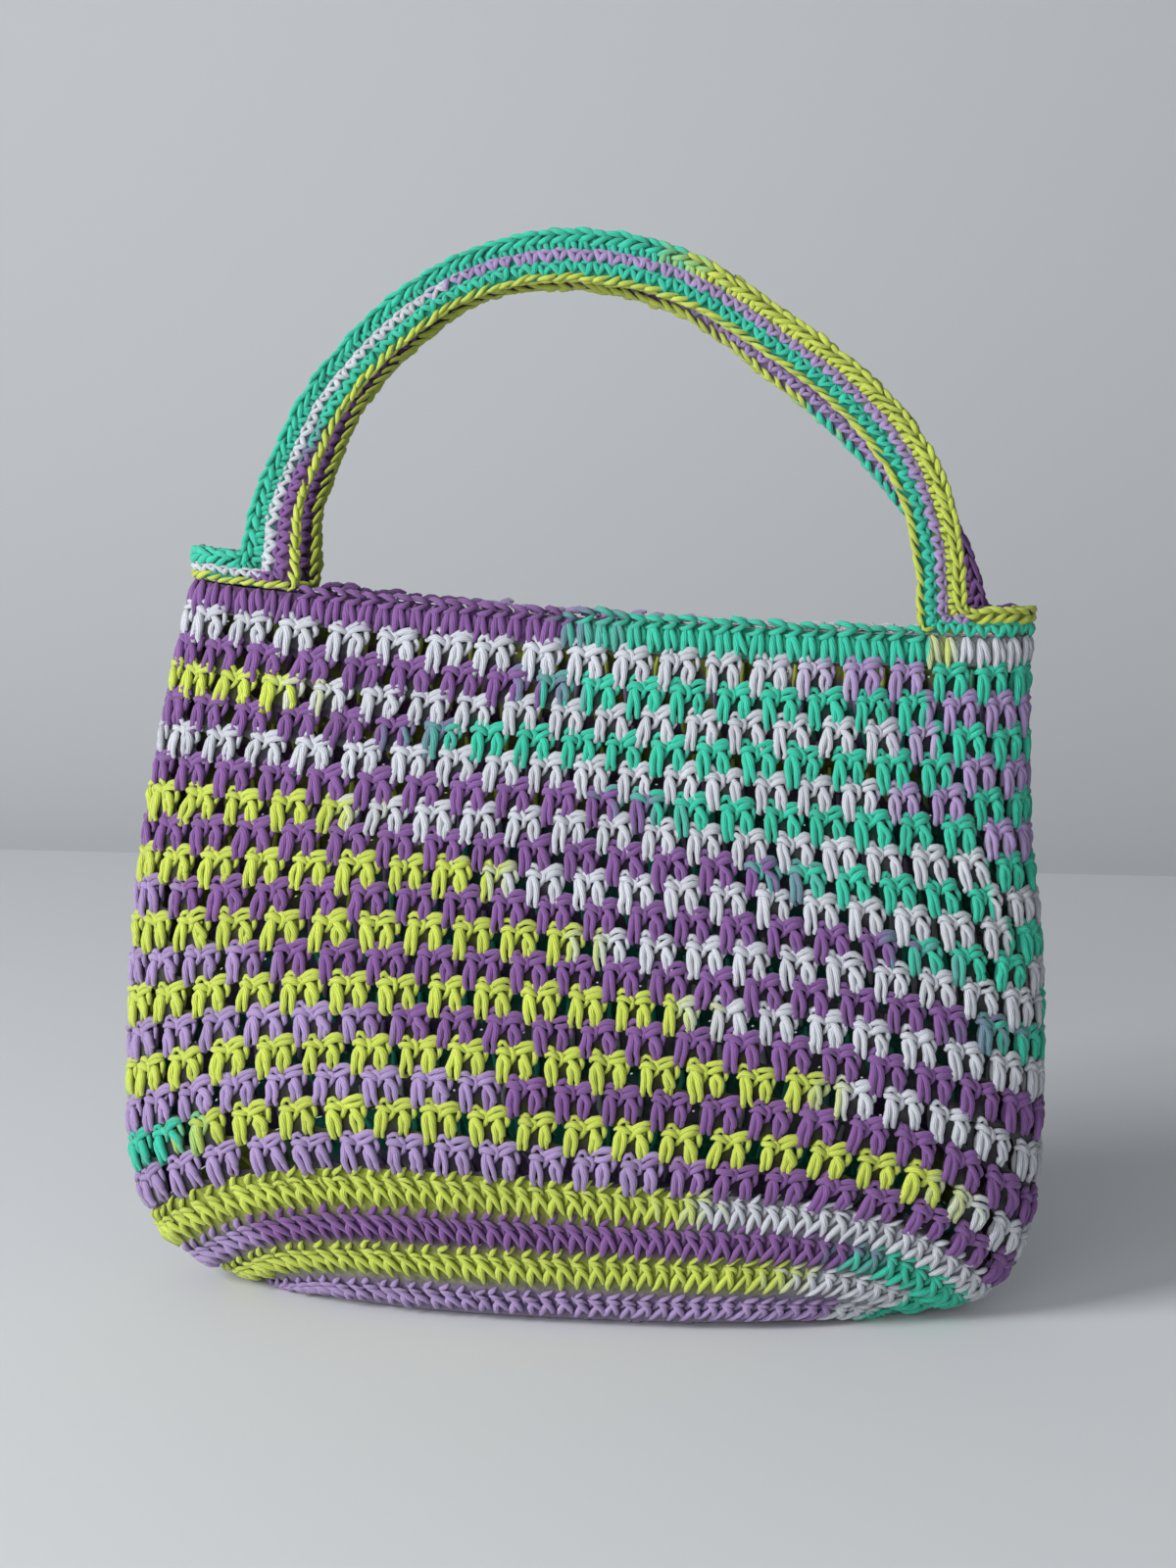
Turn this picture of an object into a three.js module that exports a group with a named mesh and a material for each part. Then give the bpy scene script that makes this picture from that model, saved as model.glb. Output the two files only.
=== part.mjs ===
// Crochet tote bag that stands on its own flat base: a dense base, an openwork body, a firm rim and two
// strap handles joined by an edging over each shoulder.
// Millimetres, +Z up. The front faces -Y, +X is to the right of someone who looks at the front, and the
// origin is the middle of the footprint on the surface that the bag stands on.

import * as THREE from "three";

// Cloth
const CLOTH = 3; // thickness of the crochet
const PARTING = 0.3; // room between neighbouring pieces
const RIB = 0.7; // how far one dense round stands proud of the grooves beside it

// Rounds, counted from the edge of the flat base up to the rim
const BASE_ROUNDS = 4; // dense rounds that turn up out of the flat base
const NET_ROUNDS = 18; // openwork rounds above them
const NET_TOP = BASE_ROUNDS + NET_ROUNDS;
const RIM_TOP = NET_TOP + 1;
const ROUND_RISE = 11; // usual height of one round
const SEAM = PARTING / 2 / ROUND_RISE; // half a parting, in rounds

// Columns round the bag. Each column is one pair of tall stitches, and pairs lean as the work spirals.
const COLUMNS = 44;
const LEAN_COLUMNS = 4; // columns that the net shifts to the right from its top to its foot
const OVAL_POWER = 2.5; // 2 is an ellipse, more is squarer
const OVAL_STEPS = 240;

// The net is cut at twice its stitch pitch. A gap's corners are shares of its cell, from the lower left.
const CELL_COLUMNS = 2;
const CELL_ROUNDS = 2;
const GAP_CORNERS = [
  [0.4, 0.21],
  [0.6, 0.2],
  [0.64, 0.5],
  [0.6, 0.79],
  [0.4, 0.8],
  [0.36, 0.5],
];
const GAP_UNEVENNESS = 0.14;

// Handles and shoulders
const HANDLE_ROWS = 4; // rows of stitches across a strap
const HANDLE_RIB = 0.5;
const HANDLE_STEPS = 34;
const TOP_SPREAD = 4; // each strap's distance from the middle at the top of its arch
const SHOULDER_HEIGHT = 10;
const SHOULDER_FLARE = 7; // how much higher the edging climbs where it meets a strap
const SHOULDER_STEPS = 14;

const COLOURS = {
  lime: 0xcddf56,
  lilac: 0xa58cbf,
  purple: 0x7b4f93,
  teal: 0x3dc9a0,
};

// Rows of numbers as objects with named columns.
function table(columns, rows) {
  const names = columns.split(" ");
  return rows.map((row) => Object.fromEntries(row.map((value, i) => [names[i], value])));
}

// Shape of the standing bag, a row for each level. left and right are the ends of the oval, depth is its
// half depth, zLeft, zMid and zRight are heights along that round, and bowLeft and bowRight say how long
// it keeps its middle height before it drops round the end.
const LEVELS = table("round left right depth zLeft zMid zRight bowLeft bowRight", [
  [0, -105, 100, 33, 0, 0, 0, 7, 7],
  [0.5, -113, 109, 39, 0, 8, 0, 7, 7],
  [1.5, -129, 123, 43, 3, 22, 2, 6, 6],
  [2.5, -144, 134, 45, 8, 35, 4, 5, 6],
  [3.5, -158, 143, 46, 18, 48, 8, 4, 6],
  [4.5, -166, 150, 47, 34, 60, 15, 3.5, 6],
  [6.5, -170, 159, 47, 62, 84, 40, 3, 5],
  [8.5, -169, 161, 46, 90, 106, 73, 3, 4],
  [12.5, -165, 160, 41, 145, 147, 124, 2.4, 3],
  [17.5, -155, 154, 33, 203, 194, 183, 2, 2],
  [21.5, -146, 153, 27, 245, 232, 226, 2, 2],
  [23, -142, 154, 25, 259, 248, 242, 2, 2],
]);

// Edges of the front strap between its feet, from left to right. backDrop and backShift place the back
// strap, which hangs a little lower and wider on the right.
const HANDLE = table("outerX outerZ innerX innerZ backDrop backShift", [
  [-118, 280, -99, 282, 0, -3],
  [-110, 301, -93, 300, 0, -2],
  [-97, 326, -82, 321, 0, -1],
  [-75, 351, -63, 341, 1, 0],
  [-44, 371, -38, 357, 1, 0],
  [-7, 379, -6, 362, 2, 0],
  [33, 372, 29, 356, 4, 0],
  [68, 351, 58, 340, 8, 0],
  [102, 325, 86, 319, 10, 1],
  [121, 299, 104, 298, 9, 3],
  [129, 272, 113, 274, 4, 5],
]);
const FEET = {
  left: { outerX: -121, innerX: -100, backShift: -4 },
  right: { outerX: 131, innerX: 116, backShift: 6 },
};

// Value of one column of a table at any place along it, on a curve that never overshoots its rows.
function along(rows, place, column, at) {
  const last = rows.length - 1;
  const slope = (i) => (rows[i + 1][column] - rows[i][column]) / (rows[i + 1][place] - rows[i][place]);
  const tangent = (i) => {
    if (i === 0) return slope(0);
    if (i === last) return slope(last - 1);
    const before = slope(i - 1);
    const after = slope(i);
    return before * after <= 0 ? 0 : (2 * before * after) / (before + after);
  };
  let i = 0;
  while (i < last - 1 && at > rows[i + 1][place]) i++;
  const span = rows[i + 1][place] - rows[i][place];
  const t = THREE.MathUtils.clamp((at - rows[i][place]) / span, 0, 1);
  const rise = t * t * (3 - 2 * t);
  const start = t * (1 - t) ** 2 * span * tangent(i);
  const end = t * t * (t - 1) * span * tangent(i + 1);
  return THREE.MathUtils.lerp(rows[i][column], rows[i + 1][column], rise) + start + end;
}

// A point of an oval, a share u of the way round it: from the left end along the front to the right end.
function ovalPoint(halfWidth, halfDepth, u) {
  const corner = (turn) => {
    const c = Math.cos(turn);
    const s = Math.sin(turn);
    const x = -Math.sign(c) * halfWidth * Math.abs(c) ** (2 / OVAL_POWER);
    const y = -Math.sign(s) * halfDepth * Math.abs(s) ** (2 / OVAL_POWER);
    return new THREE.Vector2(x, y);
  };
  const corners = [];
  const lengths = [0];
  for (let i = 0; i <= OVAL_STEPS; i++) {
    corners.push(corner((2 * Math.PI * i) / OVAL_STEPS));
    if (i > 0) lengths.push(lengths[i - 1] + corners[i].distanceTo(corners[i - 1]));
  }
  const wanted = (u - Math.floor(u)) * lengths[OVAL_STEPS];
  let i = 0;
  while (i < OVAL_STEPS - 1 && lengths[i + 1] < wanted) i++;
  return corners[i].clone().lerp(corners[i + 1], (wanted - lengths[i]) / (lengths[i + 1] - lengths[i]));
}

// A point of the bag's outer face: u is the share of the way round, round is the level.
function onBag(u, round) {
  const level = (column) => along(LEVELS, "round", column, round);
  const halfWidth = (level("right") - level("left")) / 2;
  const p = ovalPoint(halfWidth, level("depth"), u);
  const side = p.x / halfWidth;
  const ends = (level("zLeft") + level("zRight")) / 2;
  const tilt = ((level("zRight") - level("zLeft")) / 2) * side;
  const power = level(side < 0 ? "bowLeft" : "bowRight");
  const bow = (level("zMid") - ends) * (1 - Math.abs(side) ** power);
  return new THREE.Vector3((level("right") + level("left")) / 2 + p.x, p.y, ends + tilt + bow);
}

// Direction straight out of the cloth. At the base's edge it is halfway between the wall and the ground.
function outOf(u, round) {
  const du = 0.002;
  const dv = 0.05;
  const low = Math.max(round - dv, 0);
  const high = Math.min(round + dv, RIM_TOP);
  const across = onBag(u + du, round).sub(onBag(u - du, round));
  const up = onBag(u, high).sub(onBag(u, low));
  const out = across.cross(up).normalize();
  if (round < dv) out.add(new THREE.Vector3(0, 0, -1)).normalize();
  return out;
}

// A point at a depth inside the cloth's outer face, never below the surface that the bag stands on.
function inCloth(u, round, depth) {
  const p = onBag(u, round).addScaledVector(outOf(u, round), -depth);
  p.z = Math.max(p.z, 0);
  return p;
}

// A closed skin that is put together from named or numbered points.
class Skin {
  constructor() {
    this.points = [];
    this.faces = [];
    this.known = new Map();
  }
  add(point) {
    this.points.push(point);
    return this.points.length - 1;
  }
  named(name, make) {
    if (!this.known.has(name)) this.known.set(name, this.add(make()));
    return this.known.get(name);
  }
  face(...corners) {
    for (let i = 2; i < corners.length; i++) this.faces.push(corners[0], corners[i - 1], corners[i]);
  }
  // Joins rings of equal length, one after the other. A ring of one point is a pole.
  rings(list, closed) {
    const sides = Math.max(...list.map((ring) => ring.length));
    const joins = closed ? list.length : list.length - 1;
    for (let k = 0; k < joins; k++) {
      const from = list[k];
      const to = list[(k + 1) % list.length];
      for (let j = 0; j < sides; j++) {
        const next = (j + 1) % sides;
        if (from.length === 1) this.face(from[0], to[next], to[j]);
        else if (to.length === 1) this.face(from[j], from[next], to[0]);
        else this.face(from[j], from[next], to[next], to[j]);
      }
    }
  }
  mesh(name, colour) {
    const geometry = new THREE.BufferGeometry();
    const places = this.points.flatMap((p) => p.toArray());
    geometry.setAttribute("position", new THREE.Float32BufferAttribute(places, 3));
    geometry.setIndex(this.faces);
    geometry.computeVertexNormals();
    const yarn = new THREE.MeshStandardMaterial({ color: colour, roughness: 0.9, metalness: 0 });
    const mesh = new THREE.Mesh(geometry, yarn);
    mesh.name = name;
    return mesh;
  }
}

// Share of the way round at a column of the net, which leans to the right on its way down.
function columnAt(column, round) {
  const down = (NET_TOP - round) / NET_ROUNDS;
  return (column + LEAN_COLUMNS * THREE.MathUtils.clamp(down, 0, 1)) / COLUMNS;
}

// A ring of points round the bag, one for each column.
function ringOf(skin, round, depth) {
  const ring = [];
  for (let c = 0; c < COLUMNS; c++) ring.push(skin.add(inCloth(columnAt(c, round), round, depth)));
  return ring;
}

// Flat oval inside the base's edge, shrunk to a share of its size.
function floorRing(skin, share, height) {
  const edge = LEVELS[0];
  const middle = (edge.left + edge.right) / 2;
  const ring = [];
  for (let c = 0; c < COLUMNS; c++) {
    const p = onBag(columnAt(c, 0), 0);
    ring.push(skin.add(new THREE.Vector3(middle + (p.x - middle) * share, p.y * share, height)));
  }
  return ring;
}

// Dense base: the flat oval and the ribbed rounds that turn up out of it, rounded at the corners.
function makeBase() {
  const skin = new Skin();
  const top = BASE_ROUNDS - SEAM;
  const middle = (LEVELS[0].left + LEVELS[0].right) / 2;
  const rings = [[skin.add(new THREE.Vector3(middle, 0, 0))], floorRing(skin, 0.6, 0)];
  for (let half = 0; half <= 2 * BASE_ROUNDS; half++) {
    const round = Math.min(half / 2, top);
    rings.push(ringOf(skin, round, half % 2 === 1 ? -RIB : 0));
  }
  for (let round = BASE_ROUNDS; round >= 0; round--) rings.push(ringOf(skin, Math.min(round, top), CLOTH));
  rings.push(floorRing(skin, 0.6, CLOTH));
  rings.push([skin.add(new THREE.Vector3(middle, 0, CLOTH))]);
  skin.rings(rings, false);
  return skin.mesh("base", COLOURS.lime);
}

// Openwork body: cells of two columns by two rounds, each with one gap cut through.
function makeNet() {
  const skin = new Skin();
  const low = BASE_ROUNDS + SEAM;
  const high = NET_TOP - SEAM;
  const corner = (column, round, depth) => {
    const level = THREE.MathUtils.clamp(round, low, high);
    const name = [column % COLUMNS, round, depth].join(" ");
    return skin.named(name, () => inCloth(columnAt(column % COLUMNS, level), level, depth));
  };
  for (let round = BASE_ROUNDS; round < NET_TOP; round += CELL_ROUNDS) {
    for (let column = 0; column < COLUMNS; column += CELL_COLUMNS) {
      const size = 1 + GAP_UNEVENNESS * Math.sin(2.3 * column + 1.7 * round);
      const loops = [0, CLOTH].map((depth) => {
        const above = round + CELL_ROUNDS;
        const cell = [
          corner(column, round, depth),
          corner(column + 1, round, depth),
          corner(column + 2, round, depth),
          corner(column + 2, above, depth),
          corner(column + 1, above, depth),
          corner(column, above, depth),
        ];
        const gap = GAP_CORNERS.map(([across, up]) => {
          const c = column + CELL_COLUMNS * (0.5 + (across - 0.5) * size);
          const r = round + CELL_ROUNDS * (0.5 + (up - 0.5) * size);
          return skin.add(inCloth(columnAt(c, r), r, depth));
        });
        return { cell, gap };
      });
      const [outer, inner] = loops;
      for (let i = 0; i < 6; i++) {
        const n = (i + 1) % 6;
        skin.face(outer.cell[i], outer.cell[n], outer.gap[i]);
        skin.face(outer.cell[n], outer.gap[n], outer.gap[i]);
        skin.face(inner.cell[n], inner.cell[i], inner.gap[i]);
        skin.face(inner.gap[n], inner.cell[n], inner.gap[i]);
        skin.face(outer.gap[i], outer.gap[n], inner.gap[n], inner.gap[i]);
      }
      for (let i = 0; i < 2; i++) {
        const hem = (a, b) => skin.face(outer.cell[b], outer.cell[a], inner.cell[a], inner.cell[b]);
        if (round === BASE_ROUNDS) hem(i, i + 1);
        if (round + CELL_ROUNDS >= NET_TOP) hem(i + 3, i + 4);
      }
    }
  }
  return skin.mesh("net_body", COLOURS.purple);
}

// Rim: one dense round with its chain edge rolled over the top.
function makeRim() {
  const skin = new Skin();
  const low = NET_TOP + SEAM;
  const profile = [
    { round: low, depth: 0 },
    { round: NET_TOP + 0.45, depth: -RIB },
    { round: RIM_TOP - 0.15, depth: -RIB },
    { round: RIM_TOP, depth: CLOTH / 2 },
    { round: RIM_TOP - 0.15, depth: CLOTH + RIB },
    { round: low, depth: CLOTH },
  ];
  const rings = profile.map((row) => ringOf(skin, row.round, row.depth));
  skin.rings(rings, true);
  return skin.mesh("rim", COLOURS.teal);
}

// Share of the way round at which the rim's front half passes a given X.
function rimShareAt(x) {
  let low = 0;
  let high = 0.5;
  for (let i = 0; i < 40; i++) {
    const middle = (low + high) / 2;
    if (onBag(middle, RIM_TOP).x < x) low = middle;
    else high = middle;
  }
  return low;
}

// A foot corner of a strap, which stands on the rim with a parting between them.
function footPoint(x) {
  const p = inCloth(rimShareAt(x), RIM_TOP, CLOTH / 2);
  return new THREE.Vector3(x, p.y, p.z + PARTING);
}

// The two edges of a strap as curves. side is -1 for the front strap and 1 for the back one.
function handleEdges(side) {
  const back = side > 0 ? 1 : 0;
  const foot = (end, edge) => footPoint(end[edge + "X"] + back * end.backShift);
  const crown = Math.max(...HANDLE.map((row) => row.outerZ));
  const edgeCurve = (edge) => {
    const left = foot(FEET.left, edge);
    const right = foot(FEET.right, edge);
    const points = HANDLE.map((row) => {
      const x = row[edge + "X"] + back * row.backShift;
      const z = row[edge + "Z"] - back * row.backDrop;
      const end = x < 0 ? left : right;
      const rise = THREE.MathUtils.clamp((z - end.z) / (crown - end.z), 0, 1);
      return new THREE.Vector3(x, THREE.MathUtils.lerp(end.y, -TOP_SPREAD, rise), z);
    });
    return new THREE.CatmullRomCurve3([left, ...points, right], false, "catmullrom", 0.5);
  };
  return { outer: edgeCurve("outer"), inner: edgeCurve("inner") };
}

// Closes a row of equal cross-sections into a solid. Each section is a loop of points.
function stitchSections(skin, sections) {
  const rings = sections.map((section) => section.map((p) => skin.add(p)));
  skin.rings(rings, false);
  skin.face(...rings[0].slice().reverse());
  skin.face(...rings[rings.length - 1]);
}

// Strap handle: a flat ribbed band, narrow at the top of its arch, that stands on the rim.
function makeHandle(name, side, colour) {
  const edges = handleEdges(side);
  const skin = new Skin();
  const sections = [];
  const halves = 2 * HANDLE_ROWS;
  for (let step = 0; step <= HANDLE_STEPS; step++) {
    const t = step / HANDLE_STEPS;
    const outer = edges.outer.getPoint(t);
    const inner = edges.inner.getPoint(t);
    const face = (toward) => {
      const points = [];
      for (let i = 0; i <= halves; i++) {
        const p = inner.clone().lerp(outer, i / halves);
        const edge = i === 0 || i === halves;
        const rib = i % 2 === 1 ? HANDLE_RIB : 0;
        p.y += toward * (edge ? CLOTH / 3 : CLOTH / 2 + rib);
        p.y *= -side;
        points.push(p);
      }
      return points;
    };
    const loop = [...face(-1), ...face(1).reverse()];
    sections.push(side < 0 ? loop.reverse() : loop);
  }
  stitchSections(skin, sections);
  return skin.mesh(name, colour);
}

// Edging over one shoulder: it stands on the rim, and runs round the bag's end from strap to strap.
function makeShoulder(name, end, colour) {
  const skin = new Skin();
  const room = PARTING + 0.9;
  const away = Math.sign(end.outerX);
  const front = rimShareAt(end.outerX + away * room);
  const back = 1 - rimShareAt(end.outerX + end.backShift + away * room);
  const from = away < 0 ? back - 1 : front;
  const to = away < 0 ? front : back;
  const profile = [
    { up: 0, depth: CLOTH / 2 + 1 },
    { up: 0.35, depth: CLOTH + RIB },
    { up: 0.8, depth: CLOTH },
    { up: 1, depth: CLOTH / 2 },
    { up: 0.8, depth: 0 },
    { up: 0.35, depth: -RIB },
    { up: 0, depth: CLOTH / 2 - 1 },
  ];
  const sections = [];
  for (let step = 0; step <= SHOULDER_STEPS; step++) {
    const u = THREE.MathUtils.lerp(from, to, step / SHOULDER_STEPS);
    const edge = inCloth(u, RIM_TOP, CLOTH / 2);
    const toStrap = Math.abs((2 * step) / SHOULDER_STEPS - 1);
    const height = SHOULDER_HEIGHT + SHOULDER_FLARE * toStrap ** 6;
    sections.push(
      profile.map((row) => {
        const p = inCloth(u, RIM_TOP, row.depth);
        p.z = edge.z + PARTING + row.up * height;
        return p;
      }),
    );
  }
  stitchSections(skin, sections);
  return skin.mesh(name, colour);
}

const group = new THREE.Group();
group.name = "crochet_tote_bag";
group.add(makeBase());
group.add(makeNet());
group.add(makeRim());
group.add(makeHandle("handle_front", -1, COLOURS.teal));
group.add(makeHandle("handle_back", 1, COLOURS.lilac));
group.add(makeShoulder("shoulder_left", FEET.left, COLOURS.teal));
group.add(makeShoulder("shoulder_right", FEET.right, COLOURS.lime));

// The tables keep the bag's own middle line, so the whole is moved to stand over its origin.
const bounds = new THREE.Box3().setFromObject(group);
group.position.x = -(bounds.min.x + bounds.max.x) / 2;
group.position.y = -(bounds.min.y + bounds.max.y) / 2;

export default group;
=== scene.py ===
"""Crochet tote bag, worked stitch by stitch, on a pale floor with its lamps and its camera.

It is laid out as a Blender add-on and also runs as a script. Tables and formulas are in millimetres and
repeat those of the solids. Blender gets metres.
"""

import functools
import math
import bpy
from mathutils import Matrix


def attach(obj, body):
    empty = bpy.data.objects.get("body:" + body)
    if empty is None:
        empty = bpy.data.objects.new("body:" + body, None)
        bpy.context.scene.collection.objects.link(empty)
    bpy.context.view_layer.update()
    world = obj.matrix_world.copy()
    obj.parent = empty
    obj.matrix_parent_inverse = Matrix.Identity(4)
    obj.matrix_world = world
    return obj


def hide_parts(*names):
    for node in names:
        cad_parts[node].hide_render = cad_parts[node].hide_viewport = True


bl_info = {
    "name": "Crochet Tote Bag",
    "version": (1, 0, 0),
    "blender": (4, 5, 0),
    "location": "View3D > Sidebar > Tote Bag",
    "description": "Builds a standing crochet tote bag, stitch by stitch, on its packed frame",
    "category": "Add Mesh",
}

from collections import namedtuple

import bpy
import numpy as np
from bpy.props import FloatProperty, FloatVectorProperty, IntProperty, PointerProperty
from mathutils import Vector

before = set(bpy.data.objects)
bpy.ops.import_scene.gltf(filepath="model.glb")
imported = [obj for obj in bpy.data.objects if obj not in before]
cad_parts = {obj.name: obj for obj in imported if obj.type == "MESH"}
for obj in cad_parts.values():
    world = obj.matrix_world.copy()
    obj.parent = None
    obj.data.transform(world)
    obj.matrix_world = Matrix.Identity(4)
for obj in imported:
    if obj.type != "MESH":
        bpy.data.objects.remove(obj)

MM = 0.001

# Seeds of the differences between stitches
SEEDS = {
    "base": 12,
    "net": 21,
    "rim": 31,
    "handle_front": 40,
    "handle_back": 42,
    "shoulder_left": 51,
    "shoulder_right": 52,
}

# Cloth
CLOTH = 3.0  # thickness of the crochet
PARTING = 0.3  # room between neighbouring pieces
FLOOR_GAP = 0.12  # room between the floor and the lowest yarn
MOVED = 4.58  # how far the tables' middle line lies from the origin, to +X

# Outer and inner face of the cloth behind the stitches, in millimetres out from the bag's face
BASE_FACES = (-1.7, -2.5)
NET_FACES = (-1.6, -2.4)
RIM_FACES = (-1.4, -2.6)
EDGING_FACES = (-0.5, -2.5)

# Rounds, counted from the edge of the flat base up to the rim
BASE_ROUNDS = 4
NET_ROUNDS = 18
NET_TOP = BASE_ROUNDS + NET_ROUNDS
RIM_TOP = NET_TOP + 1
ROUND_RISE = 11.0  # usual height of one round
FLOOR_ROUNDS = 3  # rounds that fill the flat base inside its edge
SEAM = PARTING / 2 / ROUND_RISE  # half a parting, in rounds
NET_PIECES = 3  # pieces into which the net's stitches are parted

# Columns: equal parts of the way round, as many as each round of the net has pairs of tall stitches
COLUMNS = 44
OVAL_POWER = 2.5
OVAL_STEPS = 240
BAND_STEPS = 132  # steps of the base's and the rim's cloth on their way round
STRAP_STEPS = 400
CORNER_STEPS = 60  # steps of a row of edging round an end of the bag

# Places from a pair's left stitch, as shares of the way to the next pair
RIGHT_POST = 0.46
GAP_MIDDLE = 0.71

# Usual widths of one stitch, or of one pair in the net
PAIR_PITCH = 16.2
DENSE_PITCH = 5.75
FLOOR_PITCH = 7.0
RIM_PITCH = 5.9
STRAP_PITCH = 4.7
STRAP_RISE = 4.9  # usual height of a strap's row

# How the stitches are laid
FIRST_STRETCH, DENSE_STRETCH = 0.7, 0.95  # height of the base's stitches in its first round and the others
DENSE_STAGGER, FLOOR_STAGGER = 0.3, 0.4  # how far each round starts past the one before it, in stitches
CHAIN_REACH = 2  # how far the rim's chain goes on past the inner edges of the straps
SHOULDER_HEIGHTS = (0.4, 2.9, 5.4, 7.9)  # of the shoulders' cloth above the rim

# How much one stitch differs from the next: the spread of its turn, its size, its place and its lightness,
# of the thickness of its bundles, and of where its strands change colour, as a share of a stripe
SPREAD = {"turn": 0.07, "size": 0.045, "across": 0.25, "up": 0.2, "out": 0.1, "light": 0.05}
THICKNESS_SPREAD = 0.07
STRAND_SPREAD = 0.018
VARIANTS = 14  # differently drawn stitches in each row
YARN_SIDES, RIM_SIDES = 5, 6  # sides of a bundle of yarn, and of one in the rim

# Cells of the net's cloth
BACK_GAPS = 0.1  # size of the back's gaps against the front's, as hardly any light comes through the bag
GAP_CORNER = 0.78  # how far out a gap's corners lie, against the middles of its sides
PAINTED_SHADE_FRONT, PAINTED_SHADE_INSIDE = 0.2, 0.6  # painted shade: the cloth behind the stitches is darkened, as a dark recess, and less so inside the bag

# The back of the rim hangs lower in its middle, from some round on and over some rounds
BACK_DROP = 3.6
DROP_FROM, DROP_OVER = 16, 6
DROP_POWER = 0.7  # below 1, the back hangs lower over most of its width

# Studio, in metres. The backdrop curves up where the floor board ends behind the bag.
BOARD_COLOURS = {"floor": "#D4D6D9", "backdrop": "#C3C6C9"}
BOARD_END = 0.95
BOARD_HALF = 3.0
BOARD_TOP = 3.0
SWEEP = 0.7
LAMPS = {"key": ((-1.9, -1.5, 1.35), 1.0), "fill": ((-0.5, -1.9, 0.4), 1.2)}  # place and size
LAMPS_AIM = (0, 0, 0.18)
ROOM_LIGHT = (0.93, 0.97, 1.0)  # tint of the room's even light

# The picture is taken from a little to the right, so that the bag's left end shows its side. In millimetres
# and degrees.
CAMERA = {"distance": 918.75, "height": 310.3, "turn": 8.0, "pitch": 7.65, "lens": 60.0}


def table(columns, rows):
    """Rows of numbers as one array for each named column."""
    return dict(zip(columns.split(), np.array(rows, float).T))


# Shape of the standing bag, a row for each level, as in the solids
LEVELS = table(
    "round left right depth zLeft zMid zRight bowLeft bowRight",
    [
        [0, -105, 100, 33, 0, 0, 0, 7, 7],
        [0.5, -113, 109, 39, 0, 8, 0, 7, 7],
        [1.5, -129, 123, 43, 3, 22, 2, 6, 6],
        [2.5, -144, 134, 45, 8, 35, 4, 5, 6],
        [3.5, -158, 143, 46, 18, 48, 8, 4, 6],
        [4.5, -166, 150, 47, 34, 60, 15, 3.5, 6],
        [6.5, -170, 159, 47, 62, 84, 40, 3, 5],
        [8.5, -169, 161, 46, 90, 106, 73, 3, 4],
        [12.5, -165, 160, 41, 145, 147, 124, 2.4, 3],
        [17.5, -155, 154, 33, 203, 194, 183, 2, 2],
        [21.5, -146, 153, 27, 245, 232, 226, 2, 2],
        [23, -142, 154, 25, 259, 248, 242, 2, 2],
    ],
)

# Pairs of the net, numbered to the right: the number that stands at the left end of the front, at two places
# across it and at its right end. The work spirals, so that pairs drift to the right on their way down.
PAIRS = table(
    "round left nearLeft nearRight right",
    [
        [4.5, -2.2, 5.3, 11.2, 19.0],
        [10.5, -0.6, 6.9, 13.0, 21.2],
        [16.5, 1.5, 8.6, 14.5, 22.6],
        [21.5, 4.0, 10.6, 16.0, 23.6],
    ],
)
PAIR_PLACES = {"left": 0, "nearLeft": 8, "nearRight": 14, "right": 22}  # in columns from the left end

# Edges of the front strap between its feet. backDrop and backShift place the back strap.
HANDLE = table(
    "outerX outerZ innerX innerZ backDrop backShift",
    [
        [-118, 280, -99, 282, 0, 0],
        [-110, 301, -93, 300, 0, 1],
        [-97, 326, -82, 321, 0, 1],
        [-75, 351, -63, 341, 1, 1],
        [-44, 371, -38, 357, 1, 0],
        [-7, 379, -6, 362, 2, 0],
        [33, 372, 29, 356, 4, 0],
        [68, 351, 58, 340, 8, 0],
        [102, 325, 86, 319, 10, 0],
        [121, 299, 104, 298, 9, 0],
        [129, 272, 113, 274, 4, 4],
    ],
)
FEET = {
    "left": {"outerX": -121, "innerX": -100, "backShift": -1},
    "right": {"outerX": 131, "innerX": 116, "backShift": 9},
}
HANDLE_ROWS = 4
TOP_SPREAD = 4.0  # how far each strap leans from the middle at its top

# Yarn: a self-striping ball, which changes colour in this order, each for so many millimetres of crochet
COLOURS = {
    "teal": "#2CBA9C",
    "purple": "#7A508E",
    "lilac": "#A089B8",
    "white": "#C0C3CB",
    "lime": "#BCCB4E",
}
ORDER = list(COLOURS)
LENGTHS = {"teal": 330.0, "purple": 262.0, "lilac": 300.0, "white": 225.0, "lime": 275.0}
BLEND = 0.035  # half the length over which one colour passes into the next, as a share of a stripe
ROW_BLEND = 0.05  # length over which a strap's row changes colour, as a share of the row
ROW_STRAND_SPREAD = 0.25  # spread of where its strands change, as a share of ROW_BLEND
GROUND_CHANGE = 1.7  # row of a strap at which the cloth under its stitches changes colour

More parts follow.
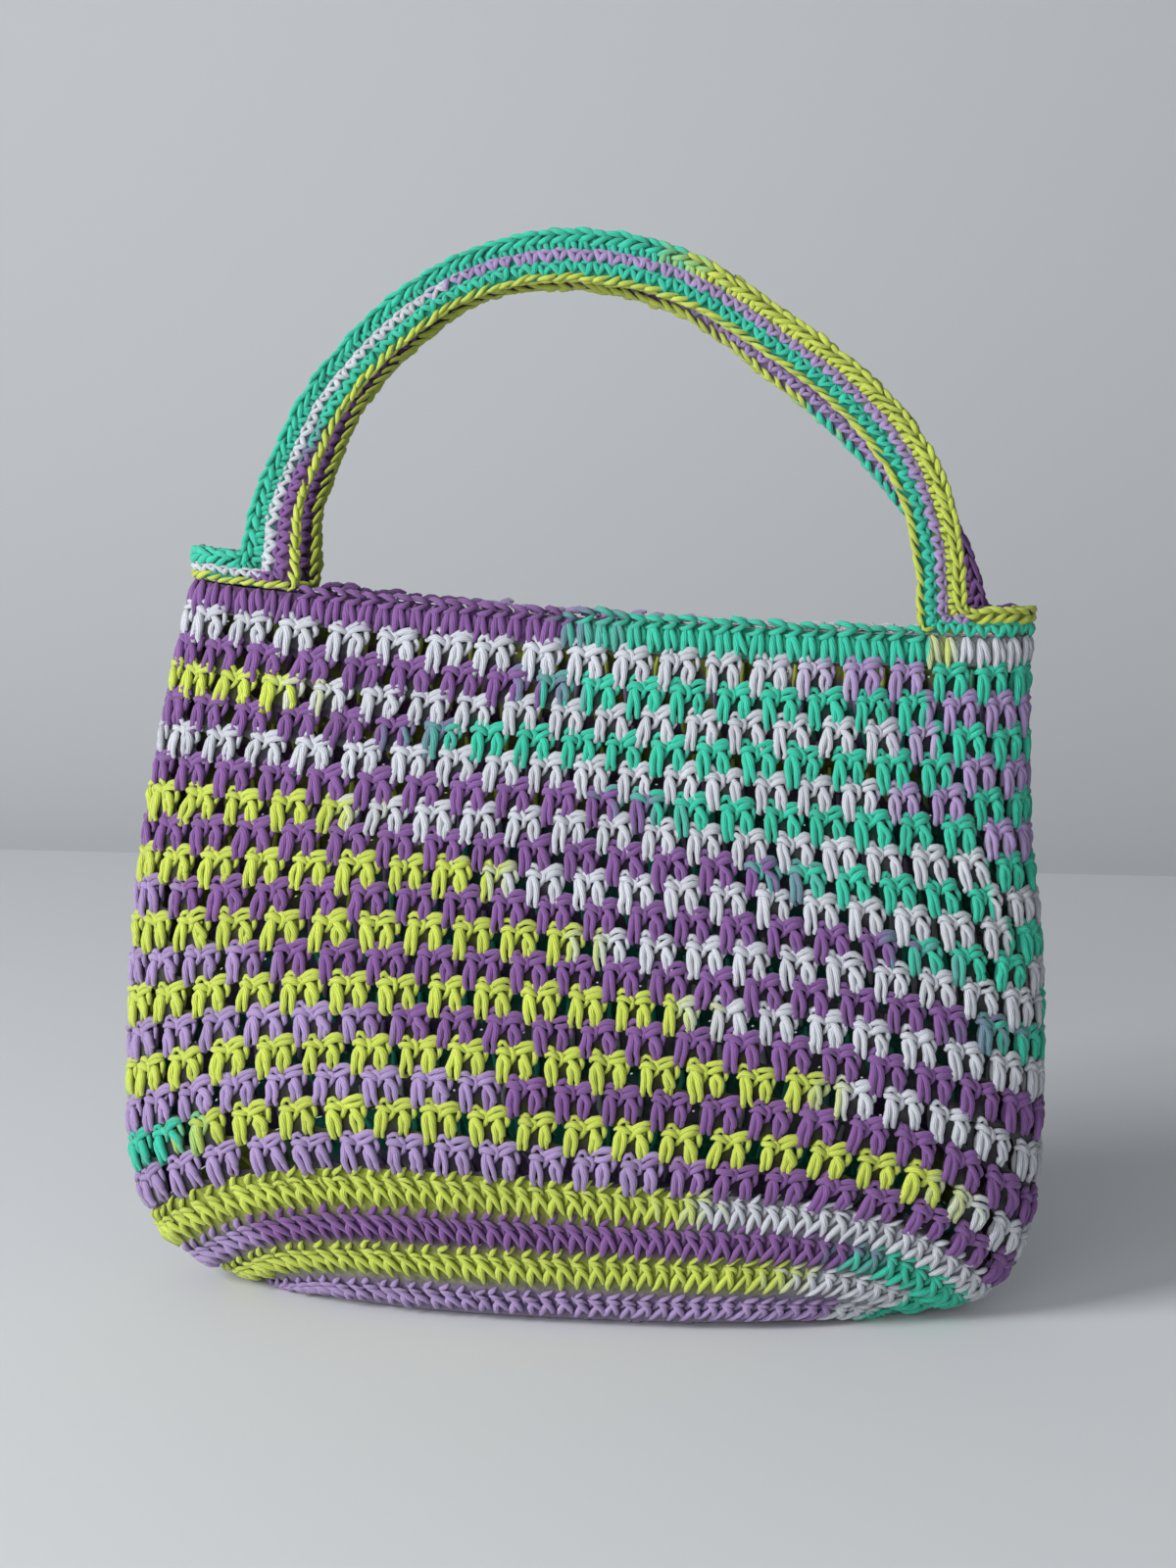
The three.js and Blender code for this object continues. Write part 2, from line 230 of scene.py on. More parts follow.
# Where the colours change in each round, from the rim down. The yarn runs to the left along the front. First
# comes the place where the round starts, then a colour's name and the places where it and the next ones
# start, all in per cent of the way round.
STRIPES = [
    [43.2, "purple", 24.6, -18, -30, -55.6],
    [43.2, "white", 37.2, -1],
    [43.2, "purple", 23.4, -17],
    [43.7, "white", 41.9, 10.0],
    [44.4, "purple", 17.3, -22],
    [45.1, "white", 40.7, -2],
    [45.8, "purple", 28.5, -11],
    [46.0, "white", 48, 13.7],
    [46.0, "purple", 35.8, -1],
    [46.7, "white", 54, 21.5],
    [47.9, "purple", 41.5, 4.0],
    [49.0, "white", 58, 26.2],
    [49.6, "purple", 45.8, 9.6],
    [50.2, "white", 63, 31.2],
    [50.8, "purple", 52, 16.2],
    [51.4, "white", 70, 37.9],
    [52.0, "purple", 58, 22.2],
    [52.6, "white", 76, 44.5],
    [53.2, "purple", 68, 31.1],
    [53.8, "white", 66, 32.6],
    [54.4, "purple", 41.4, 7.3],
    [55.0, "white", 74, 39.0],
    [55.6, "purple", 80, 42.9],
]

# How many of the lowest rounds lie under the bag at the front's right corner, by share of the way round
UNDER = table(
    "share rounds",
    [[0, 0], [0.425, 0], [0.43, 1], [0.453, 1], [0.458, 2], [0.483, 2], [0.488, 3], [0.53, 3], [0.56, 0]],
)


# curves and surfaces


def along(rows, place, column, at):
    """Value of one column of a table at any place along it, on a curve that never overshoots its rows."""
    x, y = rows[place], rows[column]
    slope = np.diff(y) / np.diff(x)
    tangent = np.empty(len(x))
    tangent[0], tangent[-1] = slope[0], slope[-1]
    before, after = slope[:-1], slope[1:]
    with np.errstate(divide="ignore", invalid="ignore"):
        tangent[1:-1] = np.where(before * after <= 0, 0, 2 * before * after / (before + after))
    i = int(np.clip(np.searchsorted(x, at) - 1, 0, len(x) - 2))
    span = x[i + 1] - x[i]
    t = min(max((at - x[i]) / span, 0), 1)
    rise = t * t * (3 - 2 * t)
    start = t * (1 - t) ** 2 * span * tangent[i]
    end = t * t * (t - 1) * span * tangent[i + 1]
    return y[i] * (1 - rise) + y[i + 1] * rise + start + end


def oval(half_width, half_depth, share):
    """Points of an oval at shares of the way round it, from the left end along the front."""
    turn = np.linspace(0, 2 * math.pi, OVAL_STEPS + 1)
    c, s = np.cos(turn), np.sin(turn)
    x = -np.sign(c) * half_width * np.abs(c) ** (2 / OVAL_POWER)
    y = -np.sign(s) * half_depth * np.abs(s) ** (2 / OVAL_POWER)
    run = np.concatenate([[0], np.cumsum(np.hypot(np.diff(x), np.diff(y)))])
    wanted = (share % 1) * run[-1]
    return np.interp(wanted, run, x), np.interp(wanted, run, y), run[-1]


class Wall:
    """The bag's outer face on a fine grid. A place is a share of the way round and a height in rounds.

    Below round 0 it goes on over the underside to the middle, and above the rim it rises straight up.
    """

    face = 1
    LOW, HIGH, STEP = -float(FLOOR_ROUNDS), RIM_TOP + 2.0, 1 / 12  # levels of the grid, in rounds
    ACROSS = 900  # steps of the grid round the bag
    LEAST_RISE, MOST_RISE = 4, 16  # millimetres of cloth in one round

    def __init__(self):
        levels = np.arange(self.LOW, self.HIGH + 1e-6, self.STEP)
        share = np.arange(self.ACROSS + 1) / self.ACROSS
        self.grid = np.empty((len(levels), self.ACROSS + 1, 3))
        self.run = np.empty(len(levels))
        for j, level in enumerate(levels):
            on = min(max(level, 0), RIM_TOP)
            part = {name: along(LEVELS, "round", name, on) for name in LEVELS if name != "round"}
            width = (part["right"] - part["left"]) / 2
            depth = part["depth"]
            if level < 0:
                width += ROUND_RISE * level
                depth *= 1 + level / FLOOR_ROUNDS
            x, y, self.run[j] = oval(width, max(depth, 0.5), share)
            side = x / width
            ends = (part["zLeft"] + part["zRight"]) / 2
            tilt = (part["zRight"] - part["zLeft"]) / 2 * side
            power = np.where(side < 0, part["bowLeft"], part["bowRight"])
            z = ends + tilt + (part["zMid"] - ends) * (1 - np.abs(side) ** power)
            z += max(level - RIM_TOP, 0) * ROUND_RISE
            lowered = min(max((level - DROP_FROM) / DROP_OVER, 0), 1) ** 2
            z -= BACK_DROP * lowered * np.maximum(-np.sin(2 * math.pi * share), 0) ** DROP_POWER
            self.grid[j] = np.stack([(part["right"] + part["left"]) / 2 + x + MOVED, y, z], -1)
        ring = self.grid[:, :-1]
        across = np.roll(ring, -1, 1) - np.roll(ring, 1, 1)
        up = np.gradient(self.grid, self.STEP, axis=0)
        self.up = np.linalg.norm(up, axis=2)
        out = np.cross(np.concatenate([across, across[:, :1]], 1), up)
        self.out = out / np.maximum(np.linalg.norm(out, axis=2, keepdims=True), 1e-9)

    def look(self, values, share, level):
        """Value at a place of anything that is kept for each point of the grid."""
        x = (share % 1) * self.ACROSS
        y = (np.clip(level, self.LOW, self.HIGH) - self.LOW) / self.STEP
        i = np.minimum(x.astype(int), self.ACROSS - 1)
        j = np.minimum(y.astype(int), len(values) - 2)
        fx, fy = x - i, y - j
        if values.ndim == 3:
            fx, fy = fx[..., None], fy[..., None]
        low = values[j, i] * (1 - fx) + values[j, i + 1] * fx
        high = values[j + 1, i] * (1 - fx) + values[j + 1, i + 1] * fx
        return low * (1 - fy) + high * fy

    def at(self, share, level, out):
        """Points some millimetres out from the face."""
        share, level, out = np.broadcast_arrays(*(np.asarray(v, float) for v in (share, level, out)))
        p = self.look(self.grid, share, level) + self.look(self.out, share, level) * out[..., None]
        p[..., 2] = np.maximum(p[..., 2], FLOOR_GAP)
        return p

    def length(self, level):
        """Millimetres round the bag at a height."""
        return np.interp(level, np.arange(len(self.run)) * self.STEP + self.LOW, self.run)

    def rise(self, share, level):
        """Millimetres of cloth in one round at a place."""
        return np.clip(self.look(self.up, share, level), self.LEAST_RISE, self.MOST_RISE)


def way_along(points):
    """Distance gone by at each point of a line."""
    return np.concatenate([[0], np.cumsum(np.linalg.norm(np.diff(points, axis=0), axis=1))])


def smooth_curve(points, t):
    """Catmull-Rom curve through points, at shares of the way through them."""
    first = 2 * points[0] - points[1]
    last = 2 * points[-1] - points[-2]
    p = np.vstack([first, points, last])
    at = np.clip(t, 0, 1) * (len(points) - 1)
    i = np.minimum(at.astype(int), len(points) - 2)
    w = (at - i)[..., None]
    a, b, c, d = p[i], p[i + 1], p[i + 2], p[i + 3]
    m, n = 0.5 * (c - a), 0.5 * (d - b)
    return b + m * w + (3 * (c - b) - 2 * m - n) * w**2 + (2 * (b - c) + m + n) * w**3


class Strap:
    """A strap's outer face. A place is a share of the way along and a height in rows from the inner edge."""

    def __init__(self, wall, side):
        self.side = side
        back = 1 if side > 0 else 0
        crown = HANDLE["outerZ"].max()
        curves = {}
        t = np.linspace(0, 1, STRAP_STEPS + 1)
        for edge in ("outer", "inner"):
            feet = {}
            for end, foot in FEET.items():
                x = foot[edge + "X"] + back * foot["backShift"]
                share = rim_share(wall, x)
                p = wall.at(share, RIM_TOP, -CLOTH / 2)
                feet[end] = np.array([x + MOVED, p[1], p[2] + PARTING])
            x = HANDLE[edge + "X"] + back * HANDLE["backShift"]
            z = HANDLE[edge + "Z"] - back * HANDLE["backDrop"]
            end = np.where((x < 0)[:, None], feet["left"], feet["right"])
            rise = np.clip((z - end[:, 2]) / (crown - end[:, 2]), 0, 1)
            y = end[:, 1] * (1 - rise) - TOP_SPREAD * rise
            points = np.vstack([feet["left"], np.stack([x + MOVED, y, z], -1), feet["right"]])
            curve = smooth_curve(points, t)
            curve[:, 1] *= -side
            curves[edge] = curve
        self.inner, self.outer = curves["inner"], curves["outer"]
        run = way_along((self.inner + self.outer) / 2)
        self.total = run[-1]
        self.t = np.interp(t, run / run[-1], t)

    def step(self, share):
        """Steps along the edges' curves to a share of the way along the strap's middle line."""
        return np.interp(np.clip(share, 0, 1), np.linspace(0, 1, STRAP_STEPS + 1), self.t) * STRAP_STEPS

    def at(self, share, level, out):
        """Points some millimetres out from the face."""
        share, level, out = np.broadcast_arrays(*(np.asarray(v, float) for v in (share, level, out)))
        step = self.step(share)
        i = np.minimum(step.astype(int), STRAP_STEPS - 1)
        f = (step - i)[..., None]
        inner = self.inner[i] * (1 - f) + self.inner[i + 1] * f
        outer = self.outer[i] * (1 - f) + self.outer[i + 1] * f
        across = (level / HANDLE_ROWS)[..., None]
        p = inner * (1 - across) + outer * across
        p[..., 1] += self.side * (out + CLOTH / 2)
        return p

    def row_height(self, share):
        """Millimetres across one row."""
        i = self.step(share).astype(int)
        return np.linalg.norm(self.outer[i] - self.inner[i], axis=-1) / HANDLE_ROWS


def rim_share(wall, x, back=False):
    """Share of the way round at which the rim's front, or its back, passes a given X of the tables."""
    share = np.linspace(0, 0.5, 2001)
    found = float(np.interp(x + MOVED, wall.at(share, RIM_TOP, 0)[:, 0], share))
    return 1 - found if back else found


class Row:
    """Path of one row of the edging, seen from outside the bag (face 1) or from inside it (face -1).

    A place is a share of the way along it and a height in millimetres. Its parts are arrays with a line for
    each point: the point, the directions up and out, and how wide the row is there against its usual width.
    """

    STEP = 0.5

    def __init__(self, parts, ease, face):
        self.face = face
        values = np.vstack(parts)
        run = way_along(values[:, :3])
        self.total = run[-1]
        even = np.linspace(0, self.total, int(self.total / self.STEP))
        values = np.stack([np.interp(even, run, v) for v in values.T], 1)
        reach = max(int(ease / self.STEP), 1)
        padded = np.pad(values, ((reach, reach), (0, 0)), mode="reflect", reflect_type="odd")
        kernel = np.ones(2 * reach + 1) / (2 * reach + 1)
        self.values = np.stack([np.convolve(v, kernel, "valid") for v in padded.T], 1)

    def look(self, share):
        """The row's values at a place."""
        step = np.asarray(share, float) * (len(self.values) - 1)
        i = np.clip(step.astype(int), 0, len(self.values) - 2)
        f = (step - i)[..., None]
        return self.values[i] * (1 - f) + self.values[i + 1] * f

    def at(self, share, level, out):
        """Points some millimetres out from the face."""
        share, level, out = np.broadcast_arrays(*(np.asarray(v, float) for v in (share, level, out)))
        v = self.look(share)
        depth = self.face * (out + CLOTH / 2)
        return v[..., :3] + v[..., 3:6] * level[..., None] + v[..., 6:9] * depth[..., None]

    def length(self, level):
        return self.total

    def rise(self, share, level):
        return np.ones(np.shape(share))

    def width(self, share):
        return self.look(share)[..., 9]


def corner_part(wall, low, high, height, width):
    """Part of a row that runs round an end of the bag between two shares, at a height above the rim."""
    share = np.linspace(low, high, CORNER_STEPS)
    level = np.full(CORNER_STEPS, RIM_TOP + (PARTING + height) / ROUND_RISE)
    up = np.tile((0.0, 0.0, 1.0), (CORNER_STEPS, 1))
    out = wall.look(wall.out, share, level)
    return np.hstack([wall.at(share, level, -CLOTH / 2), up, out, np.full((CORNER_STEPS, 1), width)])


def strap_part(strap, level, feet):
    """Part of a row that runs over a strap, above a height at each foot, as the shares of the bag grow."""
    share = np.linspace(0, 1, STRAP_STEPS)
    points = strap.at(share, level, -CLOTH / 2)
    up = strap.at(share, level + 0.5, -CLOTH / 2) - points
    up /= np.linalg.norm(up, axis=1, keepdims=True)
    out = np.tile((0.0, float(strap.side), 0.0), (STRAP_STEPS, 1))
    width = strap.row_height(share) / STRAP_RISE
    above = points[:, 2] > np.where(share < 0.5, *feet)
    part = np.hstack([points, up, out, width[:, None]])[above]
    return part if strap.side < 0 else part[::-1]


# stitches

# Each stitch is a few bundles of yarn. Each entry is a point of a bundle's middle line: across, up, out of
# the cloth's face, and the bundle's radius there, all in millimetres from the middle of the stitch.
PAIR_LEFT = {
    "cap": [
        (-2.2, 4.2, -1.8, 0.6),
        (-1.6, 5.8, -0.9, 1.05),
        (-0.3, 6.9, -0.7, 1.1),
        (1.0, 6.0, -0.9, 1.0),
        (1.2, 4.2, -1.6, 0.6),
    ],
    "wrap": [
        (-2.6, 2.6, -1.7, 0.7),
        (-1.8, 4.0, -0.4, 1.2),
        (0.0, 4.0, 0.2, 1.3),
        (1.8, 3.3, -0.2, 1.2),
        (3.0, 2.0, -1.4, 0.6),
    ],
    "left leg": [
        (0.2, 3.6, -1.7, 0.7),
        (-0.9, 2.0, -0.6, 1.25),
        (-1.2, -0.5, -0.1, 1.35),
        (-1.25, -3.0, 0.0, 1.3),
        (-1.25, -5.4, -0.1, 1.15),
        (-1.2, -7.4, -0.6, 1.0),
        (-0.5, -7.0, -2.8, 0.8),
        (-0.2, -2.5, -3.8, 1.3),
        (0.4, 3.6, -3.2, 0.8),
    ],
    "right leg": [
        (-1.0, 3.4, -1.2, 0.8),
        (0.2, 2.0, 0.0, 1.35),
        (1.0, -0.3, 0.1, 1.4),
        (1.05, -2.8, -0.1, 1.3),
        (1.1, -5.2, -0.2, 1.15),
        (1.2, -7.1, -0.9, 0.9),
    ],
    "loop": [
        (0.6, 4.9, -1.6, 0.7),
        (2.4, 4.9, -0.6, 1.1),
        (3.7, 3.5, -0.5, 1.1),
        (3.3, 1.2, -0.9, 1.0),
        (1.9, -0.8, -1.6, 0.6),
    ],
}
PAIR_RIGHT = {
    "cap": [
        (2.6, 5.6, -1.5, 0.6),
        (1.3, 6.7, -0.6, 1.1),
        (-1.0, 6.5, -0.3, 1.2),
        (-3.2, 5.4, -0.4, 1.15),
        (-4.8, 3.8, -1.4, 0.6),
    ],
    "low cap": [
        (2.6, 4.6, -1.6, 0.6),
        (1.3, 5.0, -0.4, 1.15),
        (-0.6, 4.4, 0.3, 1.2),
        (-2.6, 3.4, 0.0, 1.15),
        (-4.0, 2.0, -1.3, 0.6),
    ],
    "front": [
        (-2.3, 3.3, -1.4, 0.7),
        (-1.1, 2.5, -0.1, 1.25),
        (0.1, 1.2, 0.3, 1.4),
        (0.95, -0.5, 0.2, 1.35),
        (1.2, -2.4, -0.2, 1.2),
        (1.0, -4.0, -1.0, 0.7),
    ],
    "left leg": [
        (0.0, 2.8, -1.3, 0.6),
        (-1.1, 1.2, -0.3, 1.2),
        (-1.3, -0.7, -0.1, 1.3),
        (-1.15, -2.8, -0.2, 1.2),
        (-1.0, -4.8, -0.5, 1.05),
        (-0.8, -6.3, -1.4, 0.8),
        (-0.3, -5.0, -3.0, 0.8),
        (-0.1, -1.0, -3.7, 1.2),
        (0.3, 3.6, -3.2, 0.8),
    ],
    "right leg": [
        (0.0, -0.6, -1.0, 0.7),
        (0.7, -2.6, -0.4, 1.2),
        (0.8, -4.5, -0.6, 1.05),
        (0.8, -6.2, -1.4, 0.8),
    ],
    "loop": [
        (1.3, 4.5, -1.6, 0.7),
        (2.4, 3.3, -0.8, 1.0),
        (2.5, 1.4, -1.0, 0.95),
        (1.8, -0.4, -1.7, 0.6),
    ],
}
DENSE = {
    "spike": [
        (-2.1, 3.7, -1.6, 0.45),
        (-1.0, 5.4, -0.9, 1.05),
        (0.5, 6.9, -0.9, 0.95),
        (1.8, 8.1, -1.6, 0.3),
    ],
    "wrap": [
        (-2.7, 3.0, -1.6, 0.5),
        (-1.1, 3.6, -0.4, 0.9),
        (0.9, 3.0, -0.3, 0.9),
        (2.0, 1.2, -1.3, 0.5),
    ],
    "right leg": [
        (-2.2, 3.2, -1.5, 0.6),
        (-0.7, 2.0, -0.5, 1.1),
        (1.0, 0.0, -0.2, 1.25),
        (2.1, -2.8, -0.3, 1.2),
        (2.6, -5.6, -0.9, 0.5),
    ],
    "left leg": [
        (0.9, 1.4, -1.2, 0.5),
        (-0.3, -1.0, -0.2, 1.15),
        (-1.4, -4.0, 0.0, 1.3),
        (-2.1, -7.6, -0.6, 0.45),
    ],
    "loop": [
        (3.0, 4.4, -2.2, 0.5),
        (4.0, 2.2, -1.6, 0.9),
        (3.9, -0.8, -1.9, 0.8),
        (3.2, -3.4, -2.6, 0.4),
    ],
    "back": [(0.5, 4.5, -3.2, 0.7), (-0.8, 1.0, -3.5, 1.1), (0.2, -4.5, -3.3, 0.8)],
}
RIM_POSTS = {
    "left leg": [
        (-0.8, 4.4, -1.2, 0.6),
        (-1.1, 1.8, -0.2, 1.25),
        (-0.7, -1.8, 0.0, 1.4),
        (-0.6, -6.4, -0.6, 0.5),
    ],
    "right leg": [
        (-0.4, 4.4, -1.0, 0.7),
        (0.7, 1.6, 0.0, 1.3),
        (1.9, -1.6, -0.1, 1.3),
        (2.5, -5.0, -1.0, 0.5),
    ],
    "loop": [(2.2, 4.0, -2.0, 0.5), (3.1, 0.6, -1.3, 1.1), (3.5, -2.8, -2.0, 0.6)],
    "back": [(0.2, 4.0, -3.2, 0.8), (-0.6, 0.0, -3.6, 1.1), (0.4, -4.6, -3.3, 0.8)],
}
RIM_CHAIN = {
    "low chain": [
        (-3.2, 3.4, -1.6, 0.4),
        (-0.9, 3.2, 0.2, 1.05),
        (1.4, 4.4, 0.3, 1.0),
        (3.0, 5.6, -1.2, 0.4),
    ],
    "high chain": [
        (-3.4, 7.0, -1.6, 0.4),
        (-1.0, 7.1, -0.7, 1.0),
        (1.4, 6.3, -0.2, 1.0),
        (3.2, 5.3, -1.2, 0.4),
    ],
    "top chain": [
        (-3.0, 6.2, -3.4, 0.4),
        (-0.8, 6.8, -2.9, 1.0),
        (1.2, 6.4, -2.6, 1.0),
        (3.2, 5.8, -2.2, 0.4),
    ],
}
FLOOR = {
    "one": [
        (-3.2, 3.4, -1.6, 0.6),
        (-1.2, 1.6, -1.2, 1.2),
        (0.4, -1.6, -1.2, 1.3),
        (0.6, -5.4, -1.8, 0.6),
    ],
    "two": [(3.0, 3.6, -1.8, 0.6), (1.9, 1.0, -1.3, 1.2), (2.6, -2.4, -1.5, 1.1), (3.6, -5.0, -2.0, 0.6)],
}
STRAP_ROW = {
    "left arm": [
        (-2.6, 2.3, -0.9, 0.6),
        (-1.6, 0.8, 0.0, 1.2),
        (-0.4, -1.2, 0.1, 1.15),
        (0.2, -2.9, -0.9, 0.6),
    ],
    "right arm": [
        (2.4, 2.3, -0.9, 0.6),
        (1.6, 0.7, 0.0, 1.2),
        (0.6, -1.1, 0.1, 1.15),
        (-0.1, -2.9, -0.9, 0.6),
    ],
    "bar": [(-2.4, 1.7, -0.9, 0.6), (0.0, 2.1, -0.3, 1.05), (2.4, 1.6, -0.9, 0.6)],
}
STRAP_POST = {
    "left arm": [(-1.9, 2.6, -0.9, 0.6), (-1.5, 0.4, 0.0, 1.2), (-0.7, -2.7, -0.9, 0.6)],
    "right arm": [(1.7, 2.6, -0.9, 0.6), (1.3, 0.4, 0.0, 1.2), (0.6, -2.7, -0.9, 0.6)],
}
STRAP_BRAID = {
    "low": [
        (-3.6, -2.1, -0.9, 0.5),
        (-1.2, -1.6, 0.3, 1.25),
        (1.3, -0.2, 0.5, 1.2),
        (3.4, 1.1, -0.6, 0.5),
    ],
    "high": [(-3.8, 2.5, -1.0, 0.5), (-1.2, 2.7, 0.0, 1.2), (1.3, 1.9, 0.4, 1.2), (3.6, 0.8, -0.6, 0.5)],
}
STRAP_CHAIN = {
    "rope": [
        (-3.6, -1.3, -1.0, 0.5),
        (-1.1, -0.7, 0.0, 1.15),
        (1.2, 0.5, 0.1, 1.1),
        (3.4, 1.6, -0.9, 0.5),
    ],
    "edge": [(-2.8, -0.4, -1.7, 0.5), (-0.2, -1.3, -1.2, 1.0), (2.6, -0.6, -1.7, 0.5)],
}


def transported_frames(points):
    """Two directions across a line at each of its points, which turn as little as they can along it."""
    ahead = np.gradient(points, axis=0)
    ahead /= np.maximum(np.linalg.norm(ahead, axis=1, keepdims=True), 1e-9)
    first = np.cross(ahead[0], (0.0, 0.0, 1.0))
    if np.linalg.norm(first) < 0.2:
        first = np.cross(ahead[0], (1.0, 0.0, 0.0))
    side = [first / np.linalg.norm(first)]
    for i in range(1, len(points)):
        s = side[-1] - ahead[i] * np.dot(side[-1], ahead[i])
        side.append(s / max(np.linalg.norm(s), 1e-9))
    side = np.array(side)
    return side, np.cross(ahead, side)


class Stitch:
    """Mesh of one stitch in its own millimetres: rings of points along each of its bundles of yarn."""

    def __init__(self, bundles, rng, sides, looseness):
        points, quads, uvs, bundle_of = [], [], [], []
        count = 0
        turn = 2 * math.pi * np.arange(sides) / sides
        for number, rows in enumerate(bundles.values()):
            line = np.array(rows, float)
            line[:, :3] += rng.normal(0, looseness, line[:, :3].shape) * (1, 1, 0.5)
            line[:, 3] *= 1 + rng.normal(0, THICKNESS_SPREAD)
            steps = len(line) + (len(line) > 6)
            curve = smooth_curve(line, np.linspace(0, 1, steps + 1))
            side, other = transported_frames(curve[:, :3])
            spokes = side[:, None] * np.cos(turn)[:, None] + other[:, None] * np.sin(turn)[:, None]
            points.append((curve[:, None, :3] + spokes * curve[:, None, 3:]).reshape(-1, 3))
            # The yarn's pattern runs round the bundle, and in centimetres along it from a place of its own.
            run = way_along(curve[:, :3]) / 10 + rng.random()
            i, k = np.meshgrid(np.arange(steps), np.arange(sides), indexing="ij")
            n = (k + 1) % sides
            ring, above = i * sides, (i + 1) * sides
            corners = np.stack([ring + k, ring + n, above + n, above + k], -1)
            quads.append(corners.reshape(-1, 4) + count)
            u = np.stack([k, k + 1, k + 1, k], -1) / sides
            v = np.stack([run[i], run[i], run[i + 1], run[i + 1]], -1)
            uvs.append(np.stack([u, v], -1).reshape(-1, 4, 2))
            bundle_of.append(np.full((steps + 1) * sides, number))
            count += (steps + 1) * sides
        self.points = np.vstack(points)
        self.quads = np.vstack(quads)
        self.uvs = np.vstack(uvs)
        self.bundle_of = np.concatenate(bundle_of)


class Yarn:
    """Collects stitches on a surface and turns them into one mesh."""

    def __init__(self, seed, sides=YARN_SIDES):
        self.rng, self.sides = np.random.default_rng(seed), sides
        self.looseness = bpy.context.scene.tote.looseness
        self.points, self.quads, self.uvs, self.colours = [], [], [], []
        self.count = 0

    def vary(self, name, count):
        return self.rng.normal(0, SPREAD[name], count)[:, None]

    def work(self, surface, bundles, share, level, width, colour, stretch=1.0):
        """Works a stitch at each share and level, so many times as wide and as high as in its table."""
        share = np.asarray(share, float)
        places = (np.broadcast_to(np.asarray(v, float), share.shape) for v in (level, width, stretch))
        level, width, stretch = places
        kind = self.rng.integers(0, VARIANTS, len(share))
        for number in range(VARIANTS):
            stitch = Stitch(bundles, self.rng, self.sides, self.looseness)
            mine = kind == number
            if mine.any():
                self.repeat(stitch, surface, share[mine], level[mine], width[mine], stretch[mine], colour)

    def repeat(self, stitch, surface, share, level, width, stretch, colour):
        """Works one drawn stitch at each share and level, each time a little different."""
        n = len(share)
        turn = self.vary("turn", n)
        size = 1 + self.vary("size", n)
        x, y, out = stitch.points.T
        across = (x * np.cos(turn) - y * np.sin(turn)) * width[:, None] * size
        up = (x * np.sin(turn) + y * np.cos(turn)) * stretch[:, None] * size
        across = across + self.vary("across", n)
        up = up + self.vary("up", n)
        length = np.broadcast_to(surface.length(level), share.shape)[:, None]
        at = share[:, None] + across / length
        height = level[:, None] + up / surface.rise(share, level)[:, None]
        points = surface.at(at, height, out + self.vary("out", n))
        strand = self.rng.normal(0, 1, (n, stitch.bundle_of.max() + 1))[:, stitch.bundle_of]
        tint = colour(at, level[:, None], strand)
        tint = tint * (1 + self.vary("light", n)[..., None])
        m = len(stitch.points)
        starts = self.count + (np.arange(n) * m)[:, None, None]
        quads, uvs = stitch.quads[:, :: surface.face], stitch.uvs[:, :: surface.face]
        self.points.append(points.reshape(-1, 3))
        self.colours.append(np.clip(tint, 0, 1).reshape(-1, 3))
        self.quads.append((quads[None] + starts).reshape(-1, 4))
        self.uvs.append(np.broadcast_to(uvs, (n,) + uvs.shape).reshape(-1, 4, 2))
        self.count += n * m

    def make(self, name, material):
        """The mesh of all stitches worked so far."""
        parts = (np.vstack(rows) for rows in (self.points, self.quads, self.colours, self.uvs))
        return mesh_object(name, *parts, material)


def mesh_object(name, points, quads, colours, uvs, material):
    """A smooth mesh from points in millimetres, four-cornered faces and a colour for each point."""
    mesh = bpy.data.meshes.new(name)
    mesh.vertices.add(len(points))
    mesh.vertices.foreach_set("co", (points * MM).astype(np.float32).ravel())
    mesh.loops.add(quads.size)
    mesh.loops.foreach_set("vertex_index", quads.astype(np.int32).ravel())
    mesh.polygons.add(len(quads))
    mesh.polygons.foreach_set("loop_start", np.arange(len(quads), dtype=np.int32) * 4)
    mesh.update(calc_edges=True)
    layer = mesh.attributes.new("yarn_colour", "FLOAT_COLOR", "POINT")
    opaque = np.hstack([colours, np.ones((len(colours), 1))])
    layer.data.foreach_set("color", opaque.astype(np.float32).ravel())
    if uvs is not None:
        mesh.uv_layers.new(name="strand").uv.foreach_set("vector", uvs.astype(np.float32).ravel())
    mesh.shade_smooth()
    mesh.materials.append(material)
    mesh.validate()
    ob = bpy.data.objects.new(name, mesh)
    bpy.context.scene.collection.objects.link(ob)
    return ob


# colour


def linear(code):
    """sRGB hex as linear red, green and blue."""
    parts = [int(code[i : i + 2], 16) / 255 for i in (1, 3, 5)]
    return [p / 12.92 if p <= 0.04045 else ((p + 0.055) / 1.055) ** 2.4 for p in parts]


def palette():
    """The yarn's colours in the order of the ball, as they are set."""
    settings = bpy.context.scene.tote
    return np.array([tuple(getattr(settings, name)) for name in ORDER])


def stripe_colour(phase):
    """Colour of the yarn where phase colours of the ball have gone by."""
    near = np.floor(phase + 0.5)
    t = np.clip((phase - near) / (2 * BLEND) + 0.5, 0, 1)[..., None]
    number = near.astype(int)
    before, after = palette()[(number - 1) % len(ORDER)], palette()[number % len(ORDER)]
    return before * (1 - t) + after * t


